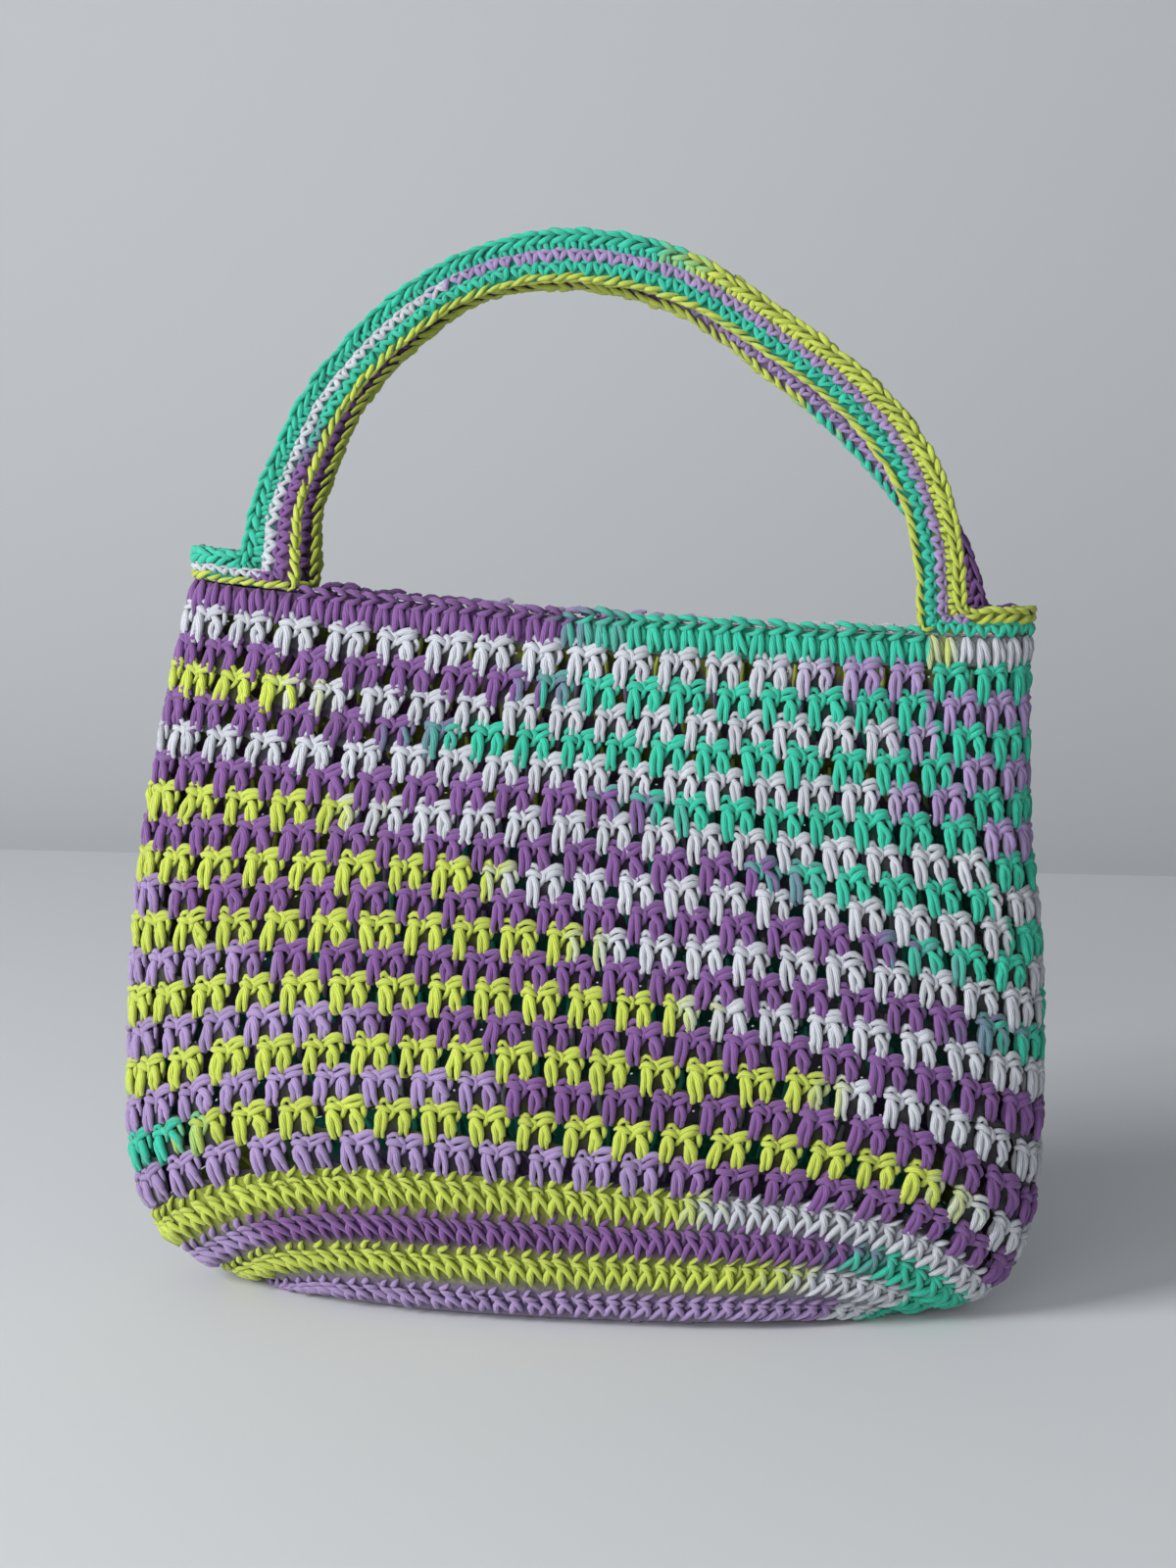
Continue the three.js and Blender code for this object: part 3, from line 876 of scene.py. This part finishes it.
def round_phases(wall):
    """For each round, rim first: its start, and its changes of colour as share gone by and phase."""
    found = []
    for number, row in enumerate(STRIPES):
        seam, name, starts = row[0] / 100, row[1], [v / 100 for v in row[2:]]
        length = float(wall.length(NET_TOP + 0.5 - number))
        first = ORDER.index(name)
        gone = [seam - s for s in starts]
        phase = [first + i for i in range(len(gone))]
        # The changes go on past both ends of the round, so that every place lies between two of them.
        while gone[-1] < 1.2:
            gone.append(gone[-1] + LENGTHS[ORDER[phase[-1] % len(ORDER)]] / length)
            phase.append(phase[-1] + 1)
        while gone[0] > -0.2:
            gone.insert(0, gone[0] - LENGTHS[ORDER[(phase[0] - 1) % len(ORDER)]] / length)
            phase.insert(0, phase[0] - 1)
        found.append((seam, np.array(gone), np.array(phase, float)))
    return found


def round_colour(wall):
    """Colour of a place on the bag, by its share and its level."""
    phases = round_phases(wall)

    def colour(share, level, strand):
        share, level = np.broadcast_arrays(share, level)
        lowest = np.interp(share % 1, UNDER["share"], UNDER["rounds"]) + 0.1
        level = np.where(level > 0, np.maximum(level, lowest), level)
        number = np.clip(np.floor(RIM_TOP - level), 0, len(phases) - 1).astype(int)
        phase = np.empty(share.shape)
        for n in np.unique(number):
            seam, gone, steps = phases[n]
            here = number == n
            phase[here] = np.interp((seam - share[here]) % 1, gone, steps)
        return stripe_colour(phase + STRAND_SPREAD * strand)

    return colour


def row_colour(x, first, change, second):
    """Colour of a row that changes once, at an X of the tables. x holds the row's places, from its start."""
    toward = np.sign(x[-1] - x[0])
    at = float(np.mean((x - change) * toward < 0))
    tints = [palette()[ORDER.index(name)] for name in (first, second)]
    before, after = tints if toward > 0 else tints[::-1]

    def colour(share, level, strand):
        t = np.clip((share - at) / ROW_BLEND + 0.5 + ROW_STRAND_SPREAD * strand, 0, 1)[..., None]
        return before * (1 - t) + after * t

    return colour


def plain_colour(name):
    """One of the yarn's colours, the same at all places."""
    tint = palette()[ORDER.index(name)]
    return lambda share, level, strand: np.broadcast_to(tint, np.broadcast(share, strand).shape + (3,))


# materials

# Real sizes of the yarn's patterns, in millimetres
WANDER_SIZE = 1.11  # length over which a strand strays to the side
FUZZ_SIZE = 0.385  # clumps of loose fibre
LUMP_SIZE = 2.38  # lumps of the cloth deep between the stitches
STREAK_LENGTH = 1.9
STREAKS = 16.6  # in one strand. Cotton fibres, at 0.02 mm, don't show, so these are drawn 0.05 mm wide.

# Looks of the yarn
STRAY = 8.0  # how far a strand strays to the side, where 2 pi is from one strand to the next
STRAND_POWER = 0.6  # below 1, a strand is broad and the groove beside it narrow
FUZZ_HEIGHT = 0.35  # of the clumps of fibre, against a strand's


def add_node(tree, kind, inputs=(), **settings):
    """Adds a shader node. An input is a value, a socket, or a node, which stands for its first output."""
    node = tree.nodes.new(kind)
    for key, value in settings.items():
        setattr(node, key, value)
    for key, value in dict(inputs).items():
        if isinstance(value, bpy.types.Node):
            value = value.outputs[0]
        if isinstance(value, bpy.types.NodeSocket):
            tree.links.new(value, node.inputs[key])
        else:
            node.inputs[key].default_value = value
    return node


def emptied(name):
    """A material and its tree without nodes. A material that is there already is used again."""
    material = bpy.data.materials.get(name) or bpy.data.materials.new(name)
    material.use_nodes = True
    material.node_tree.nodes.clear()
    return material, material.node_tree


def matte(tree, inputs):
    """Ends a tree with a matte surface."""
    shader = add_node(tree, "ShaderNodeBsdfPrincipled", inputs)
    add_node(tree, "ShaderNodeOutputMaterial", {"Surface": shader})


def dyed_cotton_with_painted_shade(tree, light, height, depth, strength, inputs):
    """Ends a tree as cotton of the yarn's own colour, multiplied by light, a factor of painted shade and, on
    the yarn, of fibre streaks, and raised by height.
    """
    colour = add_node(tree, "ShaderNodeAttribute", attribute_name="yarn_colour", attribute_type="GEOMETRY")
    tinted = add_node(tree, "ShaderNodeVectorMath", {0: colour, "Scale": light}, operation="SCALE")
    bump = add_node(tree, "ShaderNodeBump", {"Height": height, "Distance": depth * MM, "Strength": strength})
    matte(tree, {"Base Color": tinted, "Normal": bump, **inputs})


def cotton_yarn():
    """Matte spun cotton of a few loose strands.

    The grooves between strands hold painted shade, darkened down to the groove shade setting, and with the
    bump give the eye the yarn's thickness; streaks along them give its fibres, and the sheen gives the soft
    edge that cotton has against the light.
    """
    s = bpy.context.scene.tote
    material, tree = emptied("cotton_yarn")
    place = add_node(tree, "ShaderNodeTexCoord").outputs["Object"]
    part = add_node(tree, "ShaderNodeSeparateXYZ", {0: add_node(tree, "ShaderNodeUVMap", uv_map="strand")})
    around, run = part.outputs["X"], part.outputs["Y"]
    size = 1 / (WANDER_SIZE * MM)
    wander = add_node(tree, "ShaderNodeTexNoise", {"Vector": place, "Scale": size, "Detail": 2.0})
    strayed = add_node(tree, "ShaderNodeMath", {0: wander, 1: STRAY}, operation="MULTIPLY")
    wound = add_node(
        tree, "ShaderNodeMath", {0: around, 1: s.strands * 2 * math.pi, 2: strayed}, operation="MULTIPLY_ADD"
    )
    turn = add_node(
        tree, "ShaderNodeMath", {0: run, 1: s.twist * 2 * math.pi, 2: wound}, operation="MULTIPLY_ADD"
    )
    half_turn = add_node(tree, "ShaderNodeMath", {0: turn, 1: 0.5}, operation="MULTIPLY")
    wave = add_node(tree, "ShaderNodeMath", {0: half_turn}, operation="SINE")
    bulge = add_node(tree, "ShaderNodeMath", {0: wave}, operation="ABSOLUTE")
    ridge = add_node(tree, "ShaderNodeMath", {0: bulge, 1: STRAND_POWER}, operation="POWER")
    along_yarn = add_node(tree, "ShaderNodeCombineXYZ", {"X": turn, "Y": run})
    stretch = (STREAKS / (2 * math.pi), 10 / STREAK_LENGTH, 0)
    drawn_out = add_node(tree, "ShaderNodeVectorMath", {0: along_yarn, 1: stretch}, operation="MULTIPLY")
    fibres = add_node(
        tree, "ShaderNodeTexNoise", {"Vector": drawn_out, "Scale": 1.0, "Detail": 2.0, "Roughness": 0.6}
    )
    size = 1 / (FUZZ_SIZE * MM)
    fuzz = add_node(
        tree, "ShaderNodeTexNoise", {"Vector": place, "Scale": size, "Detail": 2.0, "Roughness": 0.7}
    )
    # Painted shade: the yarn is darkened in the grooves between its strands, down to the groove shade
    # setting.
    groove = add_node(
        tree,
        "ShaderNodeMapRange",
        {"Value": ridge, "From Min": 0.15, "From Max": 0.85, "To Min": s.shade, "To Max": 1.0},
    )
    streak = add_node(
        tree,
        "ShaderNodeMapRange",
        {"Value": fibres, "From Min": 0.3, "From Max": 0.75, "To Min": 0.82, "To Max": 1.16},
    )
    light = add_node(tree, "ShaderNodeMath", {0: groove, 1: streak}, operation="MULTIPLY")
    height = add_node(tree, "ShaderNodeMath", {0: fuzz, 1: FUZZ_HEIGHT, 2: ridge}, operation="MULTIPLY_ADD")
    looks = {"Roughness": 0.72, "Specular IOR Level": 0.25, "Sheen Weight": 0.25, "Sheen Roughness": 0.45}
    dyed_cotton_with_painted_shade(tree, light, height, s.groove, 0.9, looks)
    return material


def inner_cotton():
    """Cotton deep in the crochet, behind the stitches: soft lumps of yarn without a clear strand, with
    painted shade that darkens the yarn's colour to between a quarter and a half.
    """
    material, tree = emptied("inner_cotton")
    place = add_node(tree, "ShaderNodeTexCoord").outputs["Object"]
    size = 1 / (LUMP_SIZE * MM)
    lumps = add_node(
        tree, "ShaderNodeTexNoise", {"Vector": place, "Scale": size, "Detail": 3.0, "Roughness": 0.6}
    )
    # Painted shade: the yarn's colour is darkened to a quarter to a half, in soft lumps, as the cloth lies
    # in the stitches' shade.
    shade = add_node(
        tree,
        "ShaderNodeMapRange",
        {"Value": lumps, "From Min": 0.3, "From Max": 0.7, "To Min": 0.25, "To Max": 0.5},
    )
    looks = {"Roughness": 0.85, "Specular IOR Level": 0.2, "Sheen Weight": 0.2}
    dyed_cotton_with_painted_shade(tree, shade, lumps, 0.8, 0.8, looks)
    return material


def painted_board(name):
    """Smooth painted board: an even matte face that shows only the bag's soft shadow."""
    material, tree = emptied(f"painted_board_{name}")
    matte(tree, {"Base Color": (*linear(BOARD_COLOURS[name]), 1), "Roughness": 0.9})
    return material


# cloth under the stitches


@functools.lru_cache(maxsize=None)
def pair_curve(level):
    """Columns once round the bag at a height, and the number of the pair that stands at each."""
    places = list(PAIR_PLACES.values())
    numbers = [along(PAIRS, "round", name, level) for name in PAIR_PLACES]
    rows = {
        "column": np.array([places[-1] - COLUMNS, *places, COLUMNS, COLUMNS + places[1]], float),
        "number": np.array([numbers[-1] - COLUMNS, *numbers, numbers[0] + COLUMNS, numbers[1] + COLUMNS]),
    }
    columns = np.linspace(0, COLUMNS, 4 * COLUMNS + 1)
    return columns, np.array([along(rows, "column", "number", c) for c in columns])


def pair_share(number, level):
    """Share of the way round at which a pair of the net stands."""
    columns, numbers = pair_curve(round(float(level), 4))
    turns = np.floor((number - numbers[0]) / COLUMNS)
    return np.interp(number - turns * COLUMNS, numbers, columns) / COLUMNS + turns


def pair_pitch(wall, number, level):
    """Millimetres from one pair of the net to the next."""
    return (pair_share(number + 0.5, level) - pair_share(number - 0.5, level)) * wall.length(level)


def closed_band(name, surface, shares, levels, faces, colour, round_trip=False):
    """A thin closed band over a grid of shares and levels, between two depths below the face."""
    share, level = np.meshgrid(shares, levels, indexing="ij")
    n, m = share.shape
    size = n * m
    points = np.vstack([surface.at(share, level, out).reshape(-1, 3) for out in faces])
    tint = colour(share, level, np.zeros(share.shape)).reshape(-1, 3)
    quads = []
    for i in range(n if round_trip else n - 1):
        here, there = i * m, (i + 1) % n * m
        for j in range(m - 1):
            a, b, c, d = here + j, there + j, there + j + 1, here + j + 1
            quads += [(a, b, c, d), (size + d, size + c, size + b, size + a)]
        for j, turn in ((0, 1), (m - 1, -1)):
            quads.append((here + j, size + here + j, size + there + j, there + j)[::turn])
    if not round_trip:
        for i, turn in ((0, -1), (n - 1, 1)):
            for a in range(i * m, i * m + m - 1):
                quads.append((a, size + a, size + a + 1, a + 1)[::turn])
    return mesh_object(name, points, np.array(quads), np.vstack([tint, tint]), None, inner_cotton())


def net_cloth(name, wall, colour, gap_width, gap_height):
    """The net's cloth: one cell for each column and round, with its gap cut through."""
    corners = [(-1, -1), (0, -1), (1, -1), (1, 0), (1, 1), (0, 1), (-1, 1), (-1, 0)]
    index, shares, levels = {}, [], []

    def point(key, column, level):
        """Number of a point of the cloth, which neighbouring cells share."""
        if key not in index:
            index[key] = len(shares)
            shares.append(float(pair_share(column, level)))
            levels.append(min(max(level, BASE_ROUNDS + SEAM), NET_TOP - SEAM))
        return index[key]

    cells = []
    for row in range(NET_ROUNDS):
        middle = BASE_ROUNDS + row + 0.5
        for column in range(COLUMNS):
            number = column + GAP_MIDDLE
            pitch = float(pair_pitch(wall, number, middle))
            size = BACK_GAPS if float(pair_share(number, middle)) % 1 > 0.5 else 1.0
            ring, gap = [], []
            for x, y in corners:
                key = ((2 * column + 1 + x) % (2 * COLUMNS), 2 * row + 1 + y)
                ring.append(point(key, (key[0] - 1) / 2 + GAP_MIDDLE, middle + y / 2))
                reach = GAP_CORNER if x and y else 1.0
                across = number + x * gap_width / 2 / pitch * reach * size
                level = middle + y * gap_height / 2 / ROUND_RISE * reach * size
                gap.append(point(("gap", column, row, x, y), across, level))
            cells.append((row, ring, gap))
    share, level = np.array(shares), np.array(levels)
    size = len(share)
    quads = []
    for row, ring, gap in cells:
        for i in range(8):
            n = (i + 1) % 8
            quads.append((ring[i], ring[n], gap[n], gap[i]))
            quads.append((size + ring[n], size + ring[i], size + gap[i], size + gap[n]))
            quads.append((gap[i], gap[n], size + gap[n], size + gap[i]))
        closed = {0: (0, 1), NET_ROUNDS - 1: (4, 5)}.get(row, ())
        quads += [(ring[i + 1], ring[i], size + ring[i], size + ring[i + 1]) for i in closed]
    points = np.vstack([wall.at(share, level, out) for out in NET_FACES])
    tint = colour(share, level, np.zeros(size))
    # Painted shade: the cloth's outer face is darkened most, as a dark recess between the stitches, and its
    # face inside the bag less.
    tints = np.vstack([tint * PAINTED_SHADE_FRONT, tint * PAINTED_SHADE_INSIDE])
    return mesh_object(name, points, np.array(quads), tints, None, inner_cotton())


# settings and operators


def yarn_setting(name):
    """Setting for one colour of the yarn."""
    return FloatVectorProperty(
        name=name.capitalize(),
        description=f"Colour of the yarn where it is {name}",
        default=linear(COLOURS[name]),
        min=0,
        max=1,
        subtype="COLOR",
    )


class ToteSettings(bpy.types.PropertyGroup):
    """What a user would change: the yarn's colours and make, the gaps and the light"""

    teal: yarn_setting("teal")
    purple: yarn_setting("purple")
    lilac: yarn_setting("lilac")
    white: yarn_setting("white")
    lime: yarn_setting("lime")
    strands: IntProperty(
        name="Strands", description="Strands of cotton in one bundle of yarn", default=10, min=2, max=16
    )
    twist: FloatProperty(
        name="Twist", description="Turns of the strands in a centimetre of yarn", default=2.2, min=0, max=8
    )
    groove: FloatProperty(
        name="Groove depth",
        description="Depth of the grooves between strands, in millimetres",
        default=0.22,
        min=0,
        max=2,
    )
    # Painted shade in the grooves between strands, as a lightness against the strands.
    shade: FloatProperty(
        name="Groove shade",
        description="Lightness of the grooves against the strands",
        default=0.68,
        min=0,
        max=1,
        subtype="FACTOR",
    )
    looseness: FloatProperty(
        name="Looseness",
        description="How far the yarn strays from the pattern, in millimetres",
        default=0.28,
        min=0,
        max=1,
    )
    gap_width: FloatProperty(
        name="Gap width",
        description="Width of the cloth's gaps, in millimetres",
        default=9.6,
        min=4,
        max=10,
    )
    gap_height: FloatProperty(
        name="Gap height",
        description="Height of the cloth's gaps, in millimetres",
        default=9.0,
        min=4,
        max=10,
    )
    key: FloatProperty(
        name="Key lamp",
        description="Power of the soft lamp at the upper left",
        default=70.0,
        min=0,
        unit="POWER",
    )
    fill: FloatProperty(
        name="Fill lamp",
        description="Power of the low soft lamp in front",
        default=22.0,
        min=0,
        unit="POWER",
    )
    sky: FloatProperty(
        name="Room light", description="Strength of the even light of the room", default=0.25, min=0
    )


@functools.lru_cache(maxsize=None)
def bag_wall():
    return Wall()


def dress(cloth, stitches, node):
    """Puts a section's cloth and stitches in the place of its solid."""
    for piece in [cloth, *stitches]:
        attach(piece, "root")
    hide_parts(node)


def even_shares(count, offset=0.0):
    """Shares of a way that part it evenly, the first one so many parts from its start."""
    return (np.arange(count) + offset) / count


class TOTE_OT_base(bpy.types.Operator):
    """Work the dense base: four ribbed rounds that turn up out of a flat oval"""

    bl_idname = "tote.base"
    bl_label = "Base"

    def execute(self, context):
        bag = bag_wall()
        colour = round_colour(bag)
        stitches = Yarn(SEEDS["base"])
        for row in range(BASE_ROUNDS):
            level = row + 0.5
            length = float(bag.length(level))
            count = round(length / DENSE_PITCH)
            width = length / count / DENSE_PITCH
            stretch = DENSE_STRETCH if row else FIRST_STRETCH
            share = even_shares(count, DENSE_STAGGER * row)
            stitches.work(bag, DENSE, share, level, width, colour, stretch)
        for row in range(FLOOR_ROUNDS):
            level = -row - 0.5
            count = round(float(bag.length(level)) / FLOOR_PITCH)
            stitches.work(bag, FLOOR, even_shares(count, FLOOR_STAGGER * row), level, 1.0, colour)
        piece = stitches.make("base_stitches", cotton_yarn())
        levels = np.concatenate([np.linspace(-FLOOR_ROUNDS, 0, 4), np.linspace(0.25, BASE_ROUNDS - SEAM, 9)])
        cloth = closed_band("base_cloth", bag, even_shares(BAND_STEPS), levels, BASE_FACES, colour, True)
        dress(cloth, [piece], "base")
        return {"FINISHED"}


class TOTE_OT_net(bpy.types.Operator):
    """Work the openwork: eighteen rounds of paired tall stitches with a gap after each pair"""

    bl_idname = "tote.net"
    bl_label = "Net"

    def execute(self, context):
        s = context.scene.tote
        bag = bag_wall()
        colour = round_colour(bag)
        column = np.arange(COLUMNS)
        pieces = []
        for part, rows in enumerate(np.split(np.arange(NET_ROUNDS), NET_PIECES)):
            stitches = Yarn(SEEDS["net"] + part)
            for level in BASE_ROUNDS + rows + 0.5:
                for bundles, number in ((PAIR_LEFT, column), (PAIR_RIGHT, column + RIGHT_POST)):
                    width = pair_pitch(bag, number, level) / PAIR_PITCH
                    stitches.work(bag, bundles, pair_share(number, level), level, width, colour)
            pieces.append(stitches.make(f"net_stitches_{part + 1}", cotton_yarn()))
        cloth = net_cloth("net_cloth", bag, colour, s.gap_width, s.gap_height)
        dress(cloth, pieces, "net_body")
        return {"FINISHED"}


class TOTE_OT_rim(bpy.types.Operator):
    """Work the rim: a firm round with its chain along the top"""

    bl_idname = "tote.rim"
    bl_label = "Rim"

    def execute(self, context):
        bag = bag_wall()
        colour = round_colour(bag)
        level = NET_TOP + 0.5
        length = float(bag.length(level))
        count = round(length / RIM_PITCH)
        share, width = even_shares(count), length / count / RIM_PITCH
        x = bag.at(share, level, 0)[:, 0] - MOVED
        low, high = FEET["left"]["innerX"] - CHAIN_REACH, FEET["right"]["innerX"] + CHAIN_REACH
        free = share[(x > low) & (x < high)]
        stitches = Yarn(SEEDS["rim"], RIM_SIDES)
        stitches.work(bag, RIM_POSTS, share, level, width, colour)
        stitches.work(bag, RIM_CHAIN, free, level, width, colour)
        piece = stitches.make("rim_stitches", cotton_yarn())
        levels = np.linspace(NET_TOP + SEAM, RIM_TOP - 0.05, 4)
        cloth = closed_band("rim_cloth", bag, even_shares(BAND_STEPS), levels, RIM_FACES, colour, True)
        dress(cloth, [piece], "rim")
        return {"FINISHED"}


# A row of the edging. middle is its place on the strap, in rows from the inner edge. front and back give a
# strap's first colour, the X where it changes and its second colour. left and right tell how the row turns
# out over a shoulder: its height above the rim, its width against the strap's, how far it goes past the
# strap's foot and how round it turns, all in millimetres, and the colour in which it goes on over the
# shoulder, or None if it ends.
EdgingRow = namedtuple("EdgingRow", "stitch middle front back left right")
EDGING = [
    EdgingRow(
        STRAP_CHAIN,
        0.3,
        front=("lime", 200, "lime"),
        back=("lime", 75, "teal"),
        left=(1.5, 0.8, 9, 1.5, "lime"),
        right=(0.6, 0.8, -11, 1.5, None),
    ),
    EdgingRow(
        STRAP_ROW,
        1.15,
        front=("purple", -95, "teal"),
        back=("purple", 30, "lilac"),
        left=(4.0, 0.7, -4, 3, None),
        right=(1.9, 0.85, 9, 2, "teal"),
    ),
    EdgingRow(
        STRAP_ROW,
        2.1,
        front=("white", -48, "lilac"),
        back=("lilac", -40, "purple"),
        left=(4.6, 0.6, 9, 5, "white"),
        right=(4.6, 0.7, 1, 3, None),
    ),
    EdgingRow(
        STRAP_POST,
        2.95,
        front=("teal", 33, "lime"),
        back=("teal", 40, "purple"),
        left=(6.6, 0.8, 2, 7, None),
        right=(5.4, 0.8, -2, 3, None),
    ),
    EdgingRow(
        STRAP_BRAID,
        3.6,
        front=("teal", 36, "lime"),
        back=("teal", 40, "purple"),
        left=(8.0, 0.95, 9, 8, "teal"),
        right=(6.0, 0.9, 9, 4, "lime"),
    ),
]


def foot_share(bag, end, past, back):
    """Share of the way round at which a strap's part of the edging ends, past its foot."""
    x = FEET[end]["outerX"] + back * FEET[end]["backShift"] + (-past if end == "left" else past)
    return rim_share(bag, x, back)


def end_shares(bag, end, past):
    """Shares between which an end's edging lies, past the feet of both its straps."""
    front, back = (foot_share(bag, end, past, back) for back in (False, True))
    return (back - 1, front) if end == "left" else (front, back)


def strap_row(bag, strap, row, face):
    """Path of one row of the edging over a strap and out over both of its feet."""
    back = strap.side > 0
    feet, parts = [], {}
    for end, share in (("left", 0.0), ("right", 1.0)):
        height, width, past = getattr(row, end)[:3]
        foot = strap.at(share, row.middle, -CLOTH / 2)
        corner = rim_share(bag, foot[0] - MOVED, back)
        feet.append(foot[2] + height)
        ends = sorted((corner, foot_share(bag, end, past, back)))
        parts[end] = corner_part(bag, *ends, height, width)
    order = [parts["left"], strap_part(strap, row.middle, feet), parts["right"]]
    return Row(order[::-1] if back else order, (row.left[3] + row.right[3]) / 2, face)


def work_row(stitches, bundles, path, colour):
    """Works one row of the edging along its path."""
    count = round(path.total / STRAP_PITCH)
    share = even_shares(count, 0.5)
    stitches.work(path, bundles, share, 0.0, path.total / count / STRAP_PITCH, colour, path.width(share))


def strap_ground(strap, name):
    """Colour of a strap's cloth under its stitches: that of a row in each half of its width."""
    x = strap.at(np.linspace(0, 1, 200), HANDLE_ROWS / 2, 0)[:, 0] - MOVED
    halves = [row_colour(x, *getattr(EDGING[row], name)) for row in (1, 3)]

    def colour(share, level, strand):
        return np.where(level[..., None] < GROUND_CHANGE, *(half(share, level, strand) for half in halves))

    return colour


class TOTE_OT_handles(bpy.types.Operator):
    """Work both strap handles, five rows each, out over their feet, with a braid along the outer edge"""

    bl_idname = "tote.handles"
    bl_label = "Handles"

    def execute(self, context):
        bag = bag_wall()
        shares, levels = np.linspace(0, 1, 80), np.linspace(0.1, HANDLE_ROWS - 0.1, 6)
        for side, name in ((-1, "front"), (1, "back")):
            handle = f"handle_{name}"
            strap = Strap(bag, side)
            stitches = Yarn(SEEDS[handle])
            for face in (1, -1):
                for row in EDGING:
                    path = strap_row(bag, strap, row, face)
                    colour = row_colour(path.values[:, 0] - MOVED, *getattr(row, name))
                    work_row(stitches, row.stitch, path, colour)
            piece = stitches.make(f"{handle}_stitches", cotton_yarn())
            faces, ground = EDGING_FACES[::-side], strap_ground(strap, name)
            cloth = closed_band(f"{handle}_cloth", strap, shares, levels, faces, ground)
            dress(cloth, [piece], handle)
        return {"FINISHED"}


class TOTE_OT_shoulders(bpy.types.Operator):
    """Work the edging that joins the straps over each end of the bag"""

    bl_idname = "tote.shoulders"
    bl_label = "Shoulders"

    def execute(self, context):
        bag = bag_wall()
        levels = RIM_TOP + (PARTING + np.array(SHOULDER_HEIGHTS)) / ROUND_RISE
        for end in FEET:
            shoulder = f"shoulder_{end}"
            stitches = Yarn(SEEDS[shoulder])
            for row in EDGING:
                height, width, past, _, name = getattr(row, end)
                if not name:
                    continue
                part = corner_part(bag, *end_shares(bag, end, past), height, width)
                for face in (1, -1):
                    work_row(stitches, row.stitch, Row([part], Row.STEP, face), plain_colour(name))
            piece = stitches.make(f"{shoulder}_stitches", cotton_yarn())
            low, high = end_shares(bag, end, 1)
            shares, ground = np.linspace(low, high, 24), plain_colour(name)
            cloth = closed_band(f"{shoulder}_cloth", bag, shares, levels, EDGING_FACES, ground)
            length = (high - low) * float(bag.length(RIM_TOP)) * MM
            dress(cloth, [piece], shoulder)
        return {"FINISHED"}


class TOTE_OT_stage(bpy.types.Operator):
    """Set the pale floor and wall, the soft lamps and the camera"""

    bl_idname = "tote.stage"
    bl_label = "Stage"

    def execute(self, context):
        scene = context.scene
        s = scene.tote
        turns = np.linspace(0, math.pi / 2, 25)
        curve = [(BOARD_END + SWEEP * math.sin(a), SWEEP * (1 - math.cos(a))) for a in turns]
        profiles = {
            "floor": [(-BOARD_HALF, 0.0), (BOARD_END, 0.0)],
            "backdrop": [*curve, (BOARD_END + SWEEP, BOARD_TOP)],
        }
        for name, profile in profiles.items():
            mesh = bpy.data.meshes.new(name)
            corners = [Vector((x, y, z)) for y, z in profile for x in (-BOARD_HALF, BOARD_HALF)]
            faces = [(2 * i, 2 * i + 1, 2 * i + 3, 2 * i + 2) for i in range(len(profile) - 1)]
            mesh.from_pydata(corners, [], faces)
            mesh.shade_smooth()
            mesh.materials.append(painted_board(name))
            ob = bpy.data.objects.new(name, mesh)
            scene.collection.objects.link(ob)
        for name, power in (("key", s.key), ("fill", s.fill)):
            place, size = LAMPS[name]
            lamp = bpy.data.lights.new(name, "AREA")
            lamp.size = size
            lamp.energy = power
            ob = bpy.data.objects.new(name, lamp)
            ob.location = place
            ob.rotation_euler = (Vector(LAMPS_AIM) - Vector(place)).to_track_quat("-Z", "Y").to_euler()
            scene.collection.objects.link(ob)
        scene.view_settings.view_transform = "Standard"
        world = bpy.data.worlds.new("room")
        world.use_nodes = True
        background = world.node_tree.nodes["Background"]
        background.inputs["Color"].default_value = (*ROOM_LIGHT, 1)
        background.inputs["Strength"].default_value = s.sky
        scene.world = world
        camera = bpy.data.cameras.new("camera")
        camera.lens = CAMERA["lens"]
        camera.sensor_width = 36.0
        camera.sensor_fit = "AUTO"
        camera.dof.use_dof = False
        turn, pitch = math.radians(CAMERA["turn"]), math.radians(CAMERA["pitch"])
        away, height = CAMERA["distance"], CAMERA["height"]
        ob = bpy.data.objects.new("camera", camera)
        ob.location = ((away * math.sin(turn) + MOVED) * MM, -away * math.cos(turn) * MM, height * MM)
        ahead = (-math.sin(turn) * math.cos(pitch), math.cos(turn) * math.cos(pitch), -math.sin(pitch))
        ob.rotation_euler = Vector(ahead).to_track_quat("-Z", "Y").to_euler()
        scene.collection.objects.link(ob)
        scene.camera = ob
        return {"FINISHED"}


class TOTE_PT_panel(bpy.types.Panel):
    bl_label = "Tote Bag"
    bl_idname = "TOTE_PT_panel"
    bl_space_type = "VIEW_3D"
    bl_region_type = "UI"
    bl_category = "Tote Bag"

    def draw(self, context):
        for name in ToteSettings.__annotations__:
            self.layout.prop(context.scene.tote, name)
        for operator in OPERATORS:
            self.layout.operator(operator.bl_idname)


OPERATORS = (TOTE_OT_stage, TOTE_OT_base, TOTE_OT_net, TOTE_OT_rim, TOTE_OT_handles, TOTE_OT_shoulders)
CLASSES = (ToteSettings, *OPERATORS, TOTE_PT_panel)


def register():
    for cls in CLASSES:
        bpy.utils.register_class(cls)
    bpy.types.Scene.tote = PointerProperty(type=ToteSettings)


def unregister():
    del bpy.types.Scene.tote
    for cls in reversed(CLASSES):
        bpy.utils.unregister_class(cls)


def main():
    register()
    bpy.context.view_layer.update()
    tote = bpy.ops.tote
    for operator in (tote.stage, tote.base, tote.net, tote.rim, tote.handles, tote.shoulders):
        if operator() != {"FINISHED"}:
            raise RuntimeError("a piece wasn't made")


if __name__ == "__main__":
    main()
